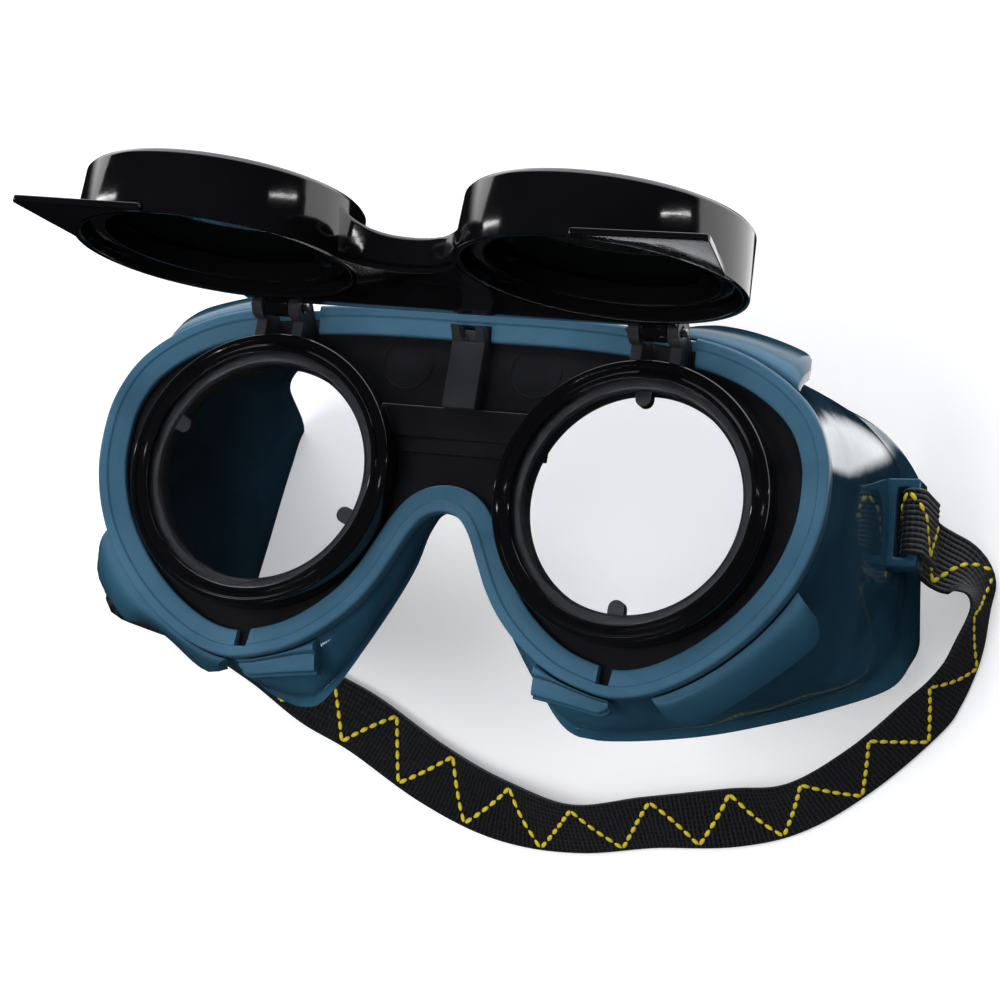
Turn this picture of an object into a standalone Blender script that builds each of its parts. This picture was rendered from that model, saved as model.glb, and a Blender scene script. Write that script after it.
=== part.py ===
# Flip-up welding goggles lying on their back, face side down, in metres with +Z up.
# Pieces are drawn in goggle coordinates: X to the right as seen from the front, Y towards the
# forehead, Z forward along the lens axes from the plane behind the clear lenses.
# The root empty sets the skirt on the floor. The flip front is drawn closed and stands open.

import bpy
import bmesh
import math
import numpy as np
from mathutils import Matrix, Vector

# Face and lens layout: the rim stands round both barrels by its margins
barrel_radius = 0.0292
nose_half_gap = 0.0119
rim_side_margin = 0.0103
rim_top_margin = 0.0086
rim_bottom_margin = 0.0103
fit_gap = 0.0003
cut_overrun = 0.0020
fusion_depth = 0.0010
segments = 36
arc_steps = 8
smooth_angle = math.radians(35)

# Rim lip of the mask, which grips the edge of the front frame
rim_face_z = -0.0022
rim_band = 0.0021
rim_round = 0.0006
rim_step = 0.0005
rim_back_z = -0.0052
lip_reach = 0.0059
lip_tilt = 0.0008
groove_depth = 0.0022
ledge_reach = 0.0046
ledge_thickness = 0.0014
neck_inset = 0.0010
neck_length = 0.0015
split_half_width = 0.0015
split_x = 0.0400

# Skirt of the mask, from the rim back to the face
skirt_side_flare = 0.0015
skirt_top_flare = 0.0042
skirt_bottom_flare = 0.0060
skirt_depth = 0.0900
skirt_wall = 0.0020
skirt_bulge = 0.0010
spline_steps = 2

# Half outlines of the rim and of the skirt's back edge, forehead to nose, matched point by point
rim_outline_shares = (
    (0.000, 1.000), (0.298, 0.996), (0.571, 0.950), (0.726, 0.877), (0.850, 0.743), (0.938, 0.570),
    (0.988, 0.345), (1.000, 0.107), (0.990, -0.101), (0.955, -0.316), (0.900, -0.506),
    (0.825, -0.684), (0.732, -0.841), (0.627, -0.957), (0.527, -1.000), (0.434, -0.967),
    (0.347, -0.899), (0.267, -0.790), (0.199, -0.658), (0.149, -0.514), (0.112, -0.367),
    (0.079, -0.235), (0.045, -0.152), (0.000, -0.124),
)
skirt_outline_shares = (
    (0.000, 1.000, 0.44), (0.268, 1.000, 0.47), (0.536, 0.976, 0.50), (0.700, 0.924, 0.56),
    (0.865, 0.852, 0.76), (0.927, 0.710, 1.00), (0.948, 0.493, 1.00), (0.963, 0.279, 1.00),
    (0.976, 0.064, 1.00), (0.991, -0.149, 1.00), (1.000, -0.290, 0.91), (0.976, -0.453, 0.82),
    (0.857, -0.620, 0.70), (0.722, -0.771, 0.57), (0.611, -0.886, 0.44), (0.470, -0.976, 0.32),
    (0.365, -1.000, 0.25), (0.297, -0.912, 0.22), (0.232, -0.725, 0.21), (0.159, -0.484, 0.20),
    (0.119, -0.308, 0.20), (0.096, -0.143, 0.20), (0.058, -0.022, 0.20), (0.000, 0.022, 0.20),
)
skirt_station_shares = ((0.22, 0.8), (0.50, 1.0), (0.74, 0.4), (0.88, -1.0), (1.00, 0.0))

# Strap lugs on the skirt
lug_wall_inset = 0.0005
lug_y = 0.0120
lug_z = -0.0572
lug_lean = math.radians(4.0)
lug_slot_start = 0.0012
lug_slot = 0.0028
lug_bar = 0.0022
lug_bar_depth = 0.0065
lug_slot_height = 0.0152
lug_end_wall = 0.0020
lug_edge = 0.0005

# Front frame with its two barrels
plate_thickness = 0.0025
barrel_wall = 0.0026
barrel_front_z = 0.0019
barrel_back_z = -0.0090
barrel_waist = 0.0004
barrel_waist_z = -0.0032
bead_width = 0.0011
bead_height = 0.00045
flange_reach = 0.0012
flange_thickness = 0.0007
shelf_overlap = 0.0081
shelf_top_y = 0.0172
shelf_bottom_y = 0.0105
shelf_z = -0.0030
step_bottom_y = 0.0075
step_z = -0.0043
post_half_width = 0.0037
post_kink_drop = 0.0041
post_kink_z = -0.0014
post_top_drop = 0.0009
post_top_z = 0.0014
post_notch_half_width = 0.0017
post_notch_depth = 0.0031

# Hinge of the flip front
hinge_offset = 0.0008
hinge_standoff = 0.0058
hinge_z = 0.0026
ear_thickness = 0.0024
ear_radius = 0.0030
ear_foot_drop = 0.0066
ear_root_drop = 0.0019
ear_shoulder_z = 0.0015
knuckle_width = 0.0053
knuckle_radius = 0.0023
knuckle_sweep_degrees = 264
knuckle_steps = 11
pin_radius = 0.0009
pin_length = 0.0132
side_gap = 0.00035

# Clear lenses and dark lenses with their threaded rings
clear_lens_thickness = 0.0012
dark_lens_thickness = 0.0030
cover_lens_thickness = 0.0016
ring_wall = 0.0033
ring_length = 0.0046
ring_lip = 0.0006
nub_reach = 0.0030
nub_half_width = 0.0017
nub_length = 0.0022
clear_nub_angles_right = (93.0, -90.0)
clear_nub_angles_left = (-21.0, 157.0)
dark_nub_angles = (40.0, -140.0)

# Flip front, drawn closed
flip_rim_z = 0.00235
cup_side = 0.0024
cup_draft = 0.0005
cup_wall = 0.0016
cup_joint_share = 0.6
cup_depth = 0.0135
cup_round = 0.0009
cup_window_lip = 0.0024
cup_face = 0.0013
cup_step_depth = 0.0058
cup_rim_bevel = 0.0003
web_thickness = 0.0020
web_corner = 0.0010
web_overlap = 0.0064
hinge_cut = 0.0036
nose_arc_radius = 0.0140
nose_arc_top_y = 0.0030
nose_arc_reach = math.radians(75)
bridge_depth = 0.0046
bridge_height = 0.0076
bridge_rise = 0.0044
bridge_steps = 14
wing_thickness = 0.0014
wing_tip_reach = 0.0019
wing_base_offset = 0.0029
wing_side_inset = 0.0015
wing_side_y = -0.0070
wing_round = 0.0015

# Vent hoods behind the rim
hood_thickness = 0.0020
hood_drop = 0.0105
hood_round = 0.0012
hood_steps = 7
small_hood_thickness = 0.0040
small_hood_plate = 0.0016
small_hood_slope = 0.0015

# Where each hood starts and ends along the rim outline, in outline points, and its outer corners
# as shares of the rim's half width, of its height on that side, and of the hoods' drop
hood_curve_shares = (0.00, 0.35, 0.70, 1.00)
top_hood_span_shares = (1.95, 4.10)
top_hood_corner_shares = ((0.596, 1.103, 0.81), (0.861, 0.963, 0.81))
bottom_hood_span_shares = (9.20, 13.10)
bottom_hood_corner_shares = ((1.012, -0.509, 0.73), (0.667, -1.073, 1.00))
nose_hood_span_shares = (14.35, 16.55)
nose_hood_edge_shares = ((0.293, -1.010), (0.470, -1.063), (0.493, -1.035))
nose_block_span_shares = (15.00, 16.30)
nose_block_edge_shares = ((0.300, -0.985), (0.440, -1.040), (0.455, -1.030))

# Head strap and its slider
strap_width = 0.0144
strap_thickness = 0.0013
strap_tail = 0.0060
strap_step = 0.0026
slider_strap_step = 0.0012
route_steps = 24
slider_half_length = 0.0090
slider_half_width = 0.0104
slider_thickness = 0.0020
slider_end_bar = 0.0020
slider_middle_bar = 0.0022
slider_slot_margin = 0.0022
slider_round = 0.0030

# Free stretch of the strap from the right lug to the left one, in goggle coordinates:
# a place on its middle line, and the way its width points there
strap_route = (
    ((0.0832, 0.0117, -0.0720), (0.00, -1.00, 0.00)),
    ((0.0846, 0.0106, -0.0772), (0.00, -1.00, 0.06)),
    ((0.0869, 0.0097, -0.0798), (0.03, -0.99, 0.14)),
    ((0.0902, 0.0086, -0.0812), (0.07, -0.95, 0.30)),
    ((0.0926, 0.0070, -0.0821), (0.04, -0.86, 0.51)),
    ((0.0944, 0.0042, -0.0826), (0.05, -0.75, 0.66)),
    ((0.0952, 0.0004, -0.0828), (0.00, -0.33, 0.94)),
    ((0.0949, -0.0038, -0.0827), (-0.07, -0.06, 0.99)),
    ((0.0938, -0.0088, -0.0826), (-0.17, -0.03, 0.98)),
    ((0.0923, -0.0138, -0.0827), (-0.22, 0.02, 0.97)),
    ((0.0898, -0.0189, -0.0828), (-0.33, 0.10, 0.94)),
    ((0.0860, -0.0242, -0.0830), (-0.42, 0.22, 0.88)),
    ((0.0745, -0.0366, -0.0831), (-0.32, 0.36, 0.87)),
    ((0.0610, -0.0467, -0.0834), (-0.25, 0.50, 0.83)),
    ((0.0460, -0.0508, -0.0848), (-0.13, 0.79, 0.60)),
    ((0.0280, -0.0541, -0.0838), (-0.07, 0.66, 0.75)),
    ((0.0105, -0.0576, -0.0836), (-0.02, 0.62, 0.78)),
    ((-0.0090, -0.0550, -0.0861), (0.15, 0.90, 0.40)),
    ((-0.0267, -0.0487, -0.0875), (0.40, 0.89, 0.20)),
    ((-0.0457, -0.0391, -0.0881), (0.45, 0.88, 0.12)),
    ((-0.0590, -0.0338, -0.0881), (0.50, 0.86, 0.10)),
    ((-0.0727, -0.0262, -0.0877), (0.42, 0.89, 0.18)),
    ((-0.0840, -0.0218, -0.0858), (0.35, 0.80, 0.50)),
    ((-0.0930, -0.0197, -0.0848), (0.55, 0.60, 0.58)),
    ((-0.1012, -0.0176, -0.0845), (0.75, 0.38, 0.54)),
    ((-0.1076, -0.0112, -0.0839), (0.86, 0.14, 0.49)),
    ((-0.1088, -0.0050, -0.0840), (0.93, 0.03, 0.36)),
    ((-0.1089, 0.0015, -0.0840), (0.93, -0.08, 0.36)),
    ((-0.1072, 0.0070, -0.0841), (0.78, -0.36, 0.51)),
    ((-0.1032, 0.0108, -0.0833), (0.34, -0.66, 0.67)),
    ((-0.0975, 0.0124, -0.0822), (0.07, -0.84, 0.54)),
    ((-0.0918, 0.0124, -0.0803), (0.00, -0.95, 0.30)),
    ((-0.0868, 0.0120, -0.0768), (0.00, -0.99, 0.10)),
    ((-0.0839, 0.0118, -0.0718), (0.00, -1.00, 0.00)),
)
slider_place = Vector((-0.1087, -0.0062, -0.0840))

# Sizes that follow from the ones above
lens_spacing = 2 * (nose_half_gap + barrel_radius)
lens_x = lens_spacing / 2
rim_half_width = lens_x + barrel_radius + rim_side_margin
rim_top = barrel_radius + rim_top_margin
rim_bottom = barrel_radius + rim_bottom_margin
skirt_half_width = rim_half_width + skirt_side_flare
skirt_top = rim_top + skirt_top_flare
skirt_bottom = rim_bottom + skirt_bottom_flare
lug_wall_x = rim_half_width - lug_wall_inset
plate_face_z = rim_back_z - fit_gap
groove_back_z = plate_face_z - plate_thickness - fit_gap
ledge_back_z = groove_back_z - ledge_thickness
pocket_radius = barrel_radius - barrel_wall
flange_radius = pocket_radius - flange_reach
lens_radius = pocket_radius - fit_gap
ring_bore = lens_radius - ring_wall
shelf_half_width = nose_half_gap + shelf_overlap
hinge_x = lens_x + hinge_offset
hinge_y = barrel_radius + hinge_standoff
ear_foot_y = hinge_y - ear_foot_drop
ear_root_y = hinge_y - ear_root_drop
post_kink_y = hinge_y - post_kink_drop
post_top_y = hinge_y - post_top_drop
cup_radius = pocket_radius + cup_side
cup_window = pocket_radius - cup_window_lip
web_half_width = lens_x + web_overlap
wing_tip_x = lens_x + cup_radius + wing_tip_reach
wing_tip_y = -cup_radius - wing_tip_reach
wing_base_x = lens_x + wing_base_offset
wing_side_x = lens_x + cup_radius - wing_side_inset
flip_front_y = hinge_y + flip_rim_z - hinge_z + cup_depth
middle_y = (flip_front_y - skirt_bottom) / 2
clear_lens_front_z = barrel_front_z - flange_thickness - fit_gap
clear_ring_front_z = clear_lens_front_z - clear_lens_thickness - fit_gap
cover_lens_front_z = flip_rim_z + cup_depth - cup_face - fit_gap
dark_lens_front_z = cover_lens_front_z - cover_lens_thickness - fit_gap
dark_ring_front_z = dark_lens_front_z - dark_lens_thickness - fit_gap
pin_hole_radius = pin_radius + fit_gap
ear_inner = knuckle_width / 2 + side_gap


def remove_everything():
    for old in list(bpy.data.objects):
        bpy.data.objects.remove(old, do_unlink=True)


def material(name, color, roughness, metallic=0.0, alpha=1.0):
    made = bpy.data.materials.new(name)
    made.use_nodes = True
    shader = made.node_tree.nodes["Principled BSDF"]
    shader.inputs["Base Color"].default_value = (*color, 1.0)
    shader.inputs["Roughness"].default_value = roughness
    shader.inputs["Metallic"].default_value = metallic
    shader.inputs["Alpha"].default_value = alpha
    return made


def empty(name, parent, place=(0, 0, 0), turn=(0, 0, 0)):
    made = bpy.data.objects.new(name, None)
    bpy.context.collection.objects.link(made)
    made.parent = parent
    made.location = place
    made.rotation_euler = turn
    return made


def finish_mesh(bm, name, finish, parent, place=(0, 0, 0)):
    bmesh.ops.recalc_face_normals(bm, faces=bm.faces)
    mesh = bpy.data.meshes.new(name)
    bm.to_mesh(mesh)
    bm.free()
    mesh.shade_smooth()
    mesh.set_sharp_from_angle(angle=smooth_angle)
    mesh.materials.append(finish)
    made = bpy.data.objects.new(name, mesh)
    bpy.context.collection.objects.link(made)
    made.parent = parent
    made.location = place
    return made


def combine(target, bm, name, operation, finish, parent):
    # Joins the drawn shape to the target, or cuts the target with it
    tool = finish_mesh(bm, name, finish, parent)
    tool.hide_render = True
    tool.display_type = "WIRE"
    step = target.modifiers.new(name, "BOOLEAN")
    step.operation = operation
    step.solver = "EXACT"
    step.object = tool


def rows_to_faces(bm, rows, close_rows=False):
    # Skins a list of rings of points that all have the same count
    made = [[bm.verts.new(point) for point in row] for row in rows]
    pairs = list(zip(made, made[1:]))
    if close_rows:
        pairs.append((made[-1], made[0]))
    count = len(made[0])
    for lower, upper in pairs:
        for i in range(count):
            j = (i + 1) % count
            bm.faces.new((lower[i], lower[j], upper[j], upper[i]))
    if not close_rows:
        bm.faces.new(made[0])
        bm.faces.new(made[-1])


def add_prism(bm, outline, low, high, placed=None):
    # An outline in X and Y drawn out from low to high along Z, then placed
    rows = [[Vector((x, y, z)) for x, y in outline] for z in (low, high)]
    if placed is not None:
        rows = [[placed @ point for point in row] for row in rows]
    rows_to_faces(bm, rows)


def add_box(bm, low, high, placed=None):
    outline = ((low[0], low[1]), (high[0], low[1]), (high[0], high[1]), (low[0], high[1]))
    add_prism(bm, outline, low[2], high[2], placed)


def add_turned(bm, profile, centre=(0, 0, 0)):
    # A closed profile of (radius, height) points carried round the lens axis
    rows = []
    for i in range(segments):
        angle = math.tau * i / segments
        rows.append([Vector((r * math.cos(angle) + centre[0], r * math.sin(angle) + centre[1], z))
                     for r, z in profile])
    rows_to_faces(bm, rows, close_rows=True)


def arc(centre, radius, start, end, steps=arc_steps):
    # Points round a centre from one angle to another, in degrees
    angles = [math.radians(start + (end - start) * step / steps) for step in range(steps + 1)]
    return [(centre[0] + radius * math.cos(angle), centre[1] + radius * math.sin(angle))
            for angle in angles]


def circle(radius, count=segments, centre=(0, 0)):
    return arc(centre, radius, 0, 360, count)[:-1]


def across():
    # Turns a shape drawn in X and Y, drawn out along Z, so that it lies in Y and Z along X
    return Matrix(((0, 0, 1, 0), (1, 0, 0, 0), (0, 1, 0, 0), (0, 0, 0, 1)))


def rounded_polygon(corners, radius, steps=3):
    # Cuts each corner of a polygon back by the radius along both sides, with a small arc
    made = []
    count = len(corners)
    for i in range(count):
        corner = Vector(corners[i])
        before = (Vector(corners[i - 1]) - corner).normalized() * radius
        after = (Vector(corners[(i + 1) % count]) - corner).normalized() * radius
        for step in range(steps + 1):
            share = step / steps
            start = corner + before * (1 - share)
            end = corner + after * share
            made.append(tuple(start.lerp(end, share)))
    return made


def spline(points, steps, closed):
    # A smooth curve through hand-chosen points, with the given number of steps between two
    points = [np.array(point, dtype=float) for point in points]
    count = len(points)
    made = []
    for i in range(count if closed else count - 1):
        if closed:
            a, b, c, d = (points[(i + k) % count] for k in (-1, 0, 1, 2))
        else:
            b, c = points[i], points[i + 1]
            a = points[i - 1] if i > 0 else 2 * b - c
            d = points[i + 2] if i + 2 < count else 2 * c - b
        for step in range(steps):
            t = step / steps
            made.append(0.5 * (2 * b + (c - a) * t + (2 * a - 5 * b + 4 * c - d) * t * t
                               + (3 * b - a - 3 * c + d) * t * t * t))
    if not closed:
        made.append(points[-1])
    return made


def outline_points():
    # Both outlines in real sizes round the whole mask: rim X and Y, skirt X, Y and Z
    half = []
    for rim, skirt in zip(rim_outline_shares, skirt_outline_shares):
        rim_y = rim[1] * (rim_top if rim[1] > 0 else rim_bottom)
        skirt_y = skirt[1] * (skirt_top if skirt[1] > 0 else skirt_bottom)
        half.append((rim[0] * rim_half_width, rim_y,
                     skirt[0] * skirt_half_width, skirt_y, -skirt[2] * skirt_depth))
    mirrored = [(-a, b, -c, d, e) for a, b, c, d, e in half[-2:0:-1]]
    return half + mirrored


def mask_rings():
    # Rim and skirt points round the mask, with the direction from the rim into the opening
    ring = spline(outline_points(), spline_steps, True)
    count = len(ring)
    rim = [Vector((p[0], p[1], 0)) for p in ring]
    skirt = [Vector((p[2], max(p[3], -skirt_bottom), max(p[4], -skirt_depth))) for p in ring]
    inward = []
    for i in range(count):
        along = (rim[(i + 1) % count] - rim[i - 1]).normalized()
        inward.append(Vector((along.y, -along.x, 0)))
    return rim, skirt, inward


def rim_section():
    # Depth into the opening and height for each corner of the rim, groove and ledge
    lip_z = rim_face_z - rim_step - lip_tilt
    return (
        (neck_inset, rim_back_z - neck_length),
        (0, rim_back_z),
        (0, rim_face_z - rim_round),
        (rim_round, rim_face_z),
        (rim_band, rim_face_z),
        (rim_band + rim_step / 2, rim_face_z - rim_step),
        (lip_reach - rim_round, lip_z),
        (lip_reach, lip_z - rim_round),
        (lip_reach, rim_back_z),
        (groove_depth, rim_back_z),
        (groove_depth, groove_back_z),
        (ledge_reach, groove_back_z),
        (ledge_reach, ledge_back_z),
        (neck_inset + skirt_wall, ledge_back_z - neck_length / 2),
    )


def skirt_walls(rim, skirt, inward):
    # Outer and inner points of the skirt wall at each station, for each place round the mask
    count = len(rim)
    necks = [rim[i] + inward[i] * neck_inset + Vector((0, 0, rim_back_z - neck_length))
             for i in range(count)]
    outer = [[] for _ in range(count)]
    inner = [[] for _ in range(count)]
    for share, bulge in skirt_station_shares:
        bare = [necks[i].lerp(skirt[i], share) for i in range(count)]
        for i in range(count):
            around = bare[(i + 1) % count] - bare[i - 1]
            back = skirt[i] - necks[i]
            normal = around.cross(back).normalized()
            flat = Vector((normal.x, normal.y, 0)).normalized()
            outer[i].append(bare[i] + normal * bulge * skirt_bulge)
            inner[i].append(outer[i][-1] - (flat if share == 1 else normal) * skirt_wall)
    return outer, inner


def build_mask(finish, root):
    rim, skirt, inward = mask_rings()
    outer, inner = skirt_walls(rim, skirt, inward)
    rows = []
    for i in range(len(rim)):
        row = [rim[i] + inward[i] * depth + Vector((0, 0, z)) for depth, z in rim_section()]
        rows.append(row + inner[i][1:] + outer[i][::-1])
    bm = bmesh.new()
    rows_to_faces(bm, rows, close_rows=True)
    mask = finish_mesh(bm, "mask_body", finish, root)
    combine(mask, lug_shapes(), "lugs", "UNION", finish, root)
    combine(mask, rim_cuts(), "rim_cuts", "DIFFERENCE", finish, root)
    return mask


def lug_matrix(side):
    # Lug coordinates: out from the wall, up along the slot, forward. The left lug is mirrored
    placed = (Matrix.Translation((lug_wall_x, lug_y, lug_z))
              @ Matrix.Rotation(lug_lean, 4, "Z"))
    return Matrix.Diagonal((side, 1, 1, 1)) @ placed


def lug_row(placed, start, end, half_height, z):
    # One level of a lug: a rectangle from start to end out from the wall
    corners = ((start, -half_height), (end, -half_height), (end, half_height), (start, half_height))
    return [placed @ Vector((u, v, z)) for u, v in corners]


def lug_shapes():
    # Both strap lugs, each a bar round its slot with its four long edges cut back
    bm = bmesh.new()
    slot_end = lug_slot_start + lug_slot
    reach = slot_end + lug_bar
    half = lug_slot_height / 2
    levels = ((lug_edge, -lug_bar_depth / 2), (0, -lug_bar_depth / 2 + lug_edge),
              (0, lug_bar_depth / 2 - lug_edge), (lug_edge, lug_bar_depth / 2))
    for side in (1, -1):
        placed = lug_matrix(side)
        outer_rows = [lug_row(placed, -fusion_depth, reach - cut, half + lug_end_wall - cut, z)
                      for cut, z in levels]
        slot_rows = [lug_row(placed, lug_slot_start - cut, slot_end + cut, half + cut, z)
                     for cut, z in levels]
        rows_to_faces(bm, outer_rows + slot_rows[::-1], close_rows=True)
    return bm


def rim_cuts():
    # Gaps in the rim for the hinge ears and the post, and the two splits in its lower lip
    bm = bmesh.new()
    reach = max(ear_inner + ear_thickness, pin_length / 2) + side_gap
    low_z = plate_face_z - fit_gap
    for side in (1, -1):
        xs = sorted((side * (hinge_x - reach), side * (hinge_x + reach)))
        add_box(bm, (xs[0], ear_foot_y, low_z), (xs[1], rim_top + cut_overrun, -rim_face_z))
        middle = side * split_x
        add_box(bm, (middle - split_half_width, -rim_bottom + rim_band + rim_round, rim_back_z - fit_gap),
                (middle + split_half_width, -rim_bottom + lip_reach + cut_overrun, -rim_face_z))
    half = post_half_width + side_gap
    add_box(bm, (-half, ear_foot_y, rim_back_z - fit_gap), (half, post_top_y + fit_gap * 2, -rim_face_z))
    return bm


def front_plate_outline():
    rim, skirt, inward = mask_rings()
    return [tuple((rim[i] + inward[i] * (groove_depth + fit_gap)).xy) for i in range(len(rim))]


def ear_outline():
    # Side view of a hinge ear: Y and Z, from its foot on the plate round the hinge axis
    root_z = plate_face_z - fusion_depth
    foot = [(ear_foot_y, root_z), (ear_foot_y, ear_shoulder_z), (hinge_y - ear_radius, ear_shoulder_z)]
    back = [(hinge_y + ear_radius, hinge_z - ear_radius), (ear_root_y + fusion_depth, plate_face_z),
            (ear_root_y, plate_face_z), (ear_root_y, root_z)]
    return foot + arc((hinge_y, hinge_z), ear_radius, 180, 0) + back


def post_outline():
    # Side view of the post between the barrels: Y and Z
    root_z = plate_face_z - fusion_depth
    plate_top = rim_top - groove_depth - fit_gap - fusion_depth
    return [(shelf_top_y - fusion_depth, root_z), (plate_top, root_z), (plate_top, plate_face_z),
            (post_top_y, plate_face_z + fusion_depth), (post_top_y, post_top_z),
            (post_kink_y, post_kink_z), (shelf_top_y - fusion_depth, post_kink_z)]


def barrel_profile():
    inner_bead = flange_radius + fit_gap
    waist = barrel_radius - barrel_waist
    flange_back = barrel_front_z - flange_thickness
    return (
        (waist, barrel_back_z),
        (waist, barrel_waist_z),
        (barrel_radius, barrel_waist_z + barrel_waist * 2),
        (barrel_radius, barrel_front_z - bead_height),
        (barrel_radius - fit_gap, barrel_front_z),
        (barrel_radius - bead_width, barrel_front_z),
        (barrel_radius - bead_width - fit_gap, barrel_front_z - bead_height),
        (inner_bead + bead_width, barrel_front_z - bead_height),
        (inner_bead + bead_width - fit_gap, barrel_front_z),
        (inner_bead, barrel_front_z),
        (flange_radius, barrel_front_z - fit_gap),
        (flange_radius, flange_back),
        (pocket_radius, flange_back),
        (pocket_radius, barrel_back_z),
    )


def pin_hole(bm):
    # One long hole on the hinge axis through every ear or knuckle
    reach = hinge_x + pin_length
    add_prism(bm, circle(pin_hole_radius, 16, (hinge_y, hinge_z)), -reach, reach, across())


def build_front_frame(finish, root):
    bm = bmesh.new()
    add_prism(bm, front_plate_outline(), plate_face_z - plate_thickness, plate_face_z)
    frame = finish_mesh(bm, "front_frame", finish, root)

    root_z = plate_face_z - fusion_depth
    shelf = ((step_bottom_y, root_z), (shelf_top_y, root_z), (shelf_top_y, shelf_z),
             (shelf_bottom_y, shelf_z), (shelf_bottom_y, step_z), (step_bottom_y, step_z))
    bm = bmesh.new()
    add_prism(bm, shelf, -shelf_half_width, shelf_half_width, across())
    for side in (1, -1):
        for inner in (-ear_inner - ear_thickness, ear_inner):
            start = side * hinge_x + inner
            add_prism(bm, ear_outline(), start, start + ear_thickness, across())
    combine(frame, bm, "shelf_and_ears", "UNION", finish, root)

    bm = bmesh.new()
    add_prism(bm, post_outline(), -post_half_width, post_half_width, across())
    combine(frame, bm, "post", "UNION", finish, root)

    bm = bmesh.new()
    barrel_middle = (barrel_radius - barrel_waist + pocket_radius) / 2
    for side in (1, -1):
        add_prism(bm, circle(barrel_middle, segments, (side * lens_x, 0)),
                  barrel_back_z - cut_overrun, barrel_front_z + cut_overrun)
    pin_hole(bm)
    notch_y = post_top_y - post_notch_depth + post_notch_half_width
    notch = arc((0, notch_y), post_notch_half_width, 180, 360)
    notch = notch + [(post_notch_half_width, post_top_y + cut_overrun),
                     (-post_notch_half_width, post_top_y + cut_overrun)]
    add_prism(bm, notch, post_kink_z - post_notch_half_width, post_top_z + cut_overrun)
    combine(frame, bm, "frame_cuts", "DIFFERENCE", finish, root)

    bm = bmesh.new()
    for side in (1, -1):
        add_turned(bm, barrel_profile(), (side * lens_x, 0))
    combine(frame, bm, "barrels", "UNION", finish, root)
    return frame


def build_lens(name, finish, parent, place, thickness):
    bm = bmesh.new()
    add_prism(bm, circle(lens_radius), -thickness, 0)
    return finish_mesh(bm, name, finish, parent, place)


def build_ring(name, finish, parent, place, nub_angles):
    # A threaded ring with two driving nubs in its bore. Its front face lies at its origin
    profile = (
        (lens_radius, -ring_length + ring_lip),
        (lens_radius, 0),
        (ring_bore + ring_lip, 0),
        (ring_bore, -ring_lip),
        (ring_bore, -ring_length),
        (lens_radius - ring_lip, -ring_length),
    )
    bm = bmesh.new()
    add_turned(bm, profile)
    ring = finish_mesh(bm, name, finish, parent, place)
    bm = bmesh.new()
    for angle in nub_angles:
        placed = Matrix.Rotation(math.radians(angle), 4, "Z")
        add_box(bm, (ring_bore - nub_reach, -nub_half_width, -ring_lip - nub_length),
                (ring_bore + fusion_depth, nub_half_width, -ring_lip), placed)
    nubs = finish_mesh(bm, name + "_nubs", finish, parent, place)
    nubs.hide_render = True
    nubs.display_type = "WIRE"
    step = ring.modifiers.new("nubs", "BOOLEAN")
    step.operation = "UNION"
    step.solver = "EXACT"
    step.object = nubs
    return ring


def nose_arc_centre_y():
    return nose_arc_top_y - nose_arc_radius


def web_outline():
    # Plan of the web between the cups: straight hinge edge, and an arc over the nose
    top = hinge_y - hinge_cut
    made = [(-web_half_width, top - web_corner), (-web_half_width + web_corner, top),
            (web_half_width - web_corner, top), (web_half_width, top - web_corner),
            (web_half_width, cup_radius / 2), (lens_x, -cup_wall), (lens_x / 2, -cup_wall)]
    for step in range(bridge_steps + 1):
        angle = nose_arc_reach * (1 - 2 * step / bridge_steps)
        made.append((nose_arc_radius * math.sin(angle),
                     nose_arc_centre_y() + nose_arc_radius * math.cos(angle)))
    made += [(-lens_x / 2, -cup_wall), (-lens_x, -cup_wall), (-web_half_width, cup_radius / 2)]
    return made


def bridge_rows():
    # The saddle over the nose: a wall along the nose arc that climbs towards the cups
    rows = []
    for step in range(bridge_steps + 1):
        share = 2 * step / bridge_steps - 1
        angle = nose_arc_reach * share
        top = flip_rim_z + bridge_height + bridge_rise * abs(share) ** 3
        low = flip_rim_z + web_thickness / 2
        row = []
        for radius, z in ((nose_arc_radius, low), (nose_arc_radius, top),
                          (nose_arc_radius + bridge_depth, top), (nose_arc_radius + bridge_depth, low)):
            row.append(Vector((radius * math.sin(angle), nose_arc_centre_y() + radius * math.cos(angle), z)))
        rows.append(row)
    return rows


def knuckle_outline():
    # Side view of a hinge knuckle of the flip front: Y and Z
    web_top = flip_rim_z + web_thickness
    foot_y = hinge_y - hinge_cut - fusion_depth
    barrel = arc((hinge_y, hinge_z), knuckle_radius, 180, 180 + knuckle_sweep_degrees, knuckle_steps)
    return [(foot_y, web_top), (foot_y, flip_rim_z)] + barrel


def cup_profile():
    front = flip_rim_z + cup_depth
    step = flip_rim_z + cup_step_depth
    front_radius = cup_radius - cup_draft
    inner = cup_radius - cup_wall
    return (
        (cup_radius, flip_rim_z),
        (front_radius, front - cup_round),
        (front_radius - cup_round, front),
        (cup_window, front),
        (cup_window, front - cup_face),
        (pocket_radius, front - cup_face),
        (pocket_radius, step),
        (inner, step),
        (inner, flip_rim_z + cup_rim_bevel),
        (inner + cup_rim_bevel, flip_rim_z),
    )


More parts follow.
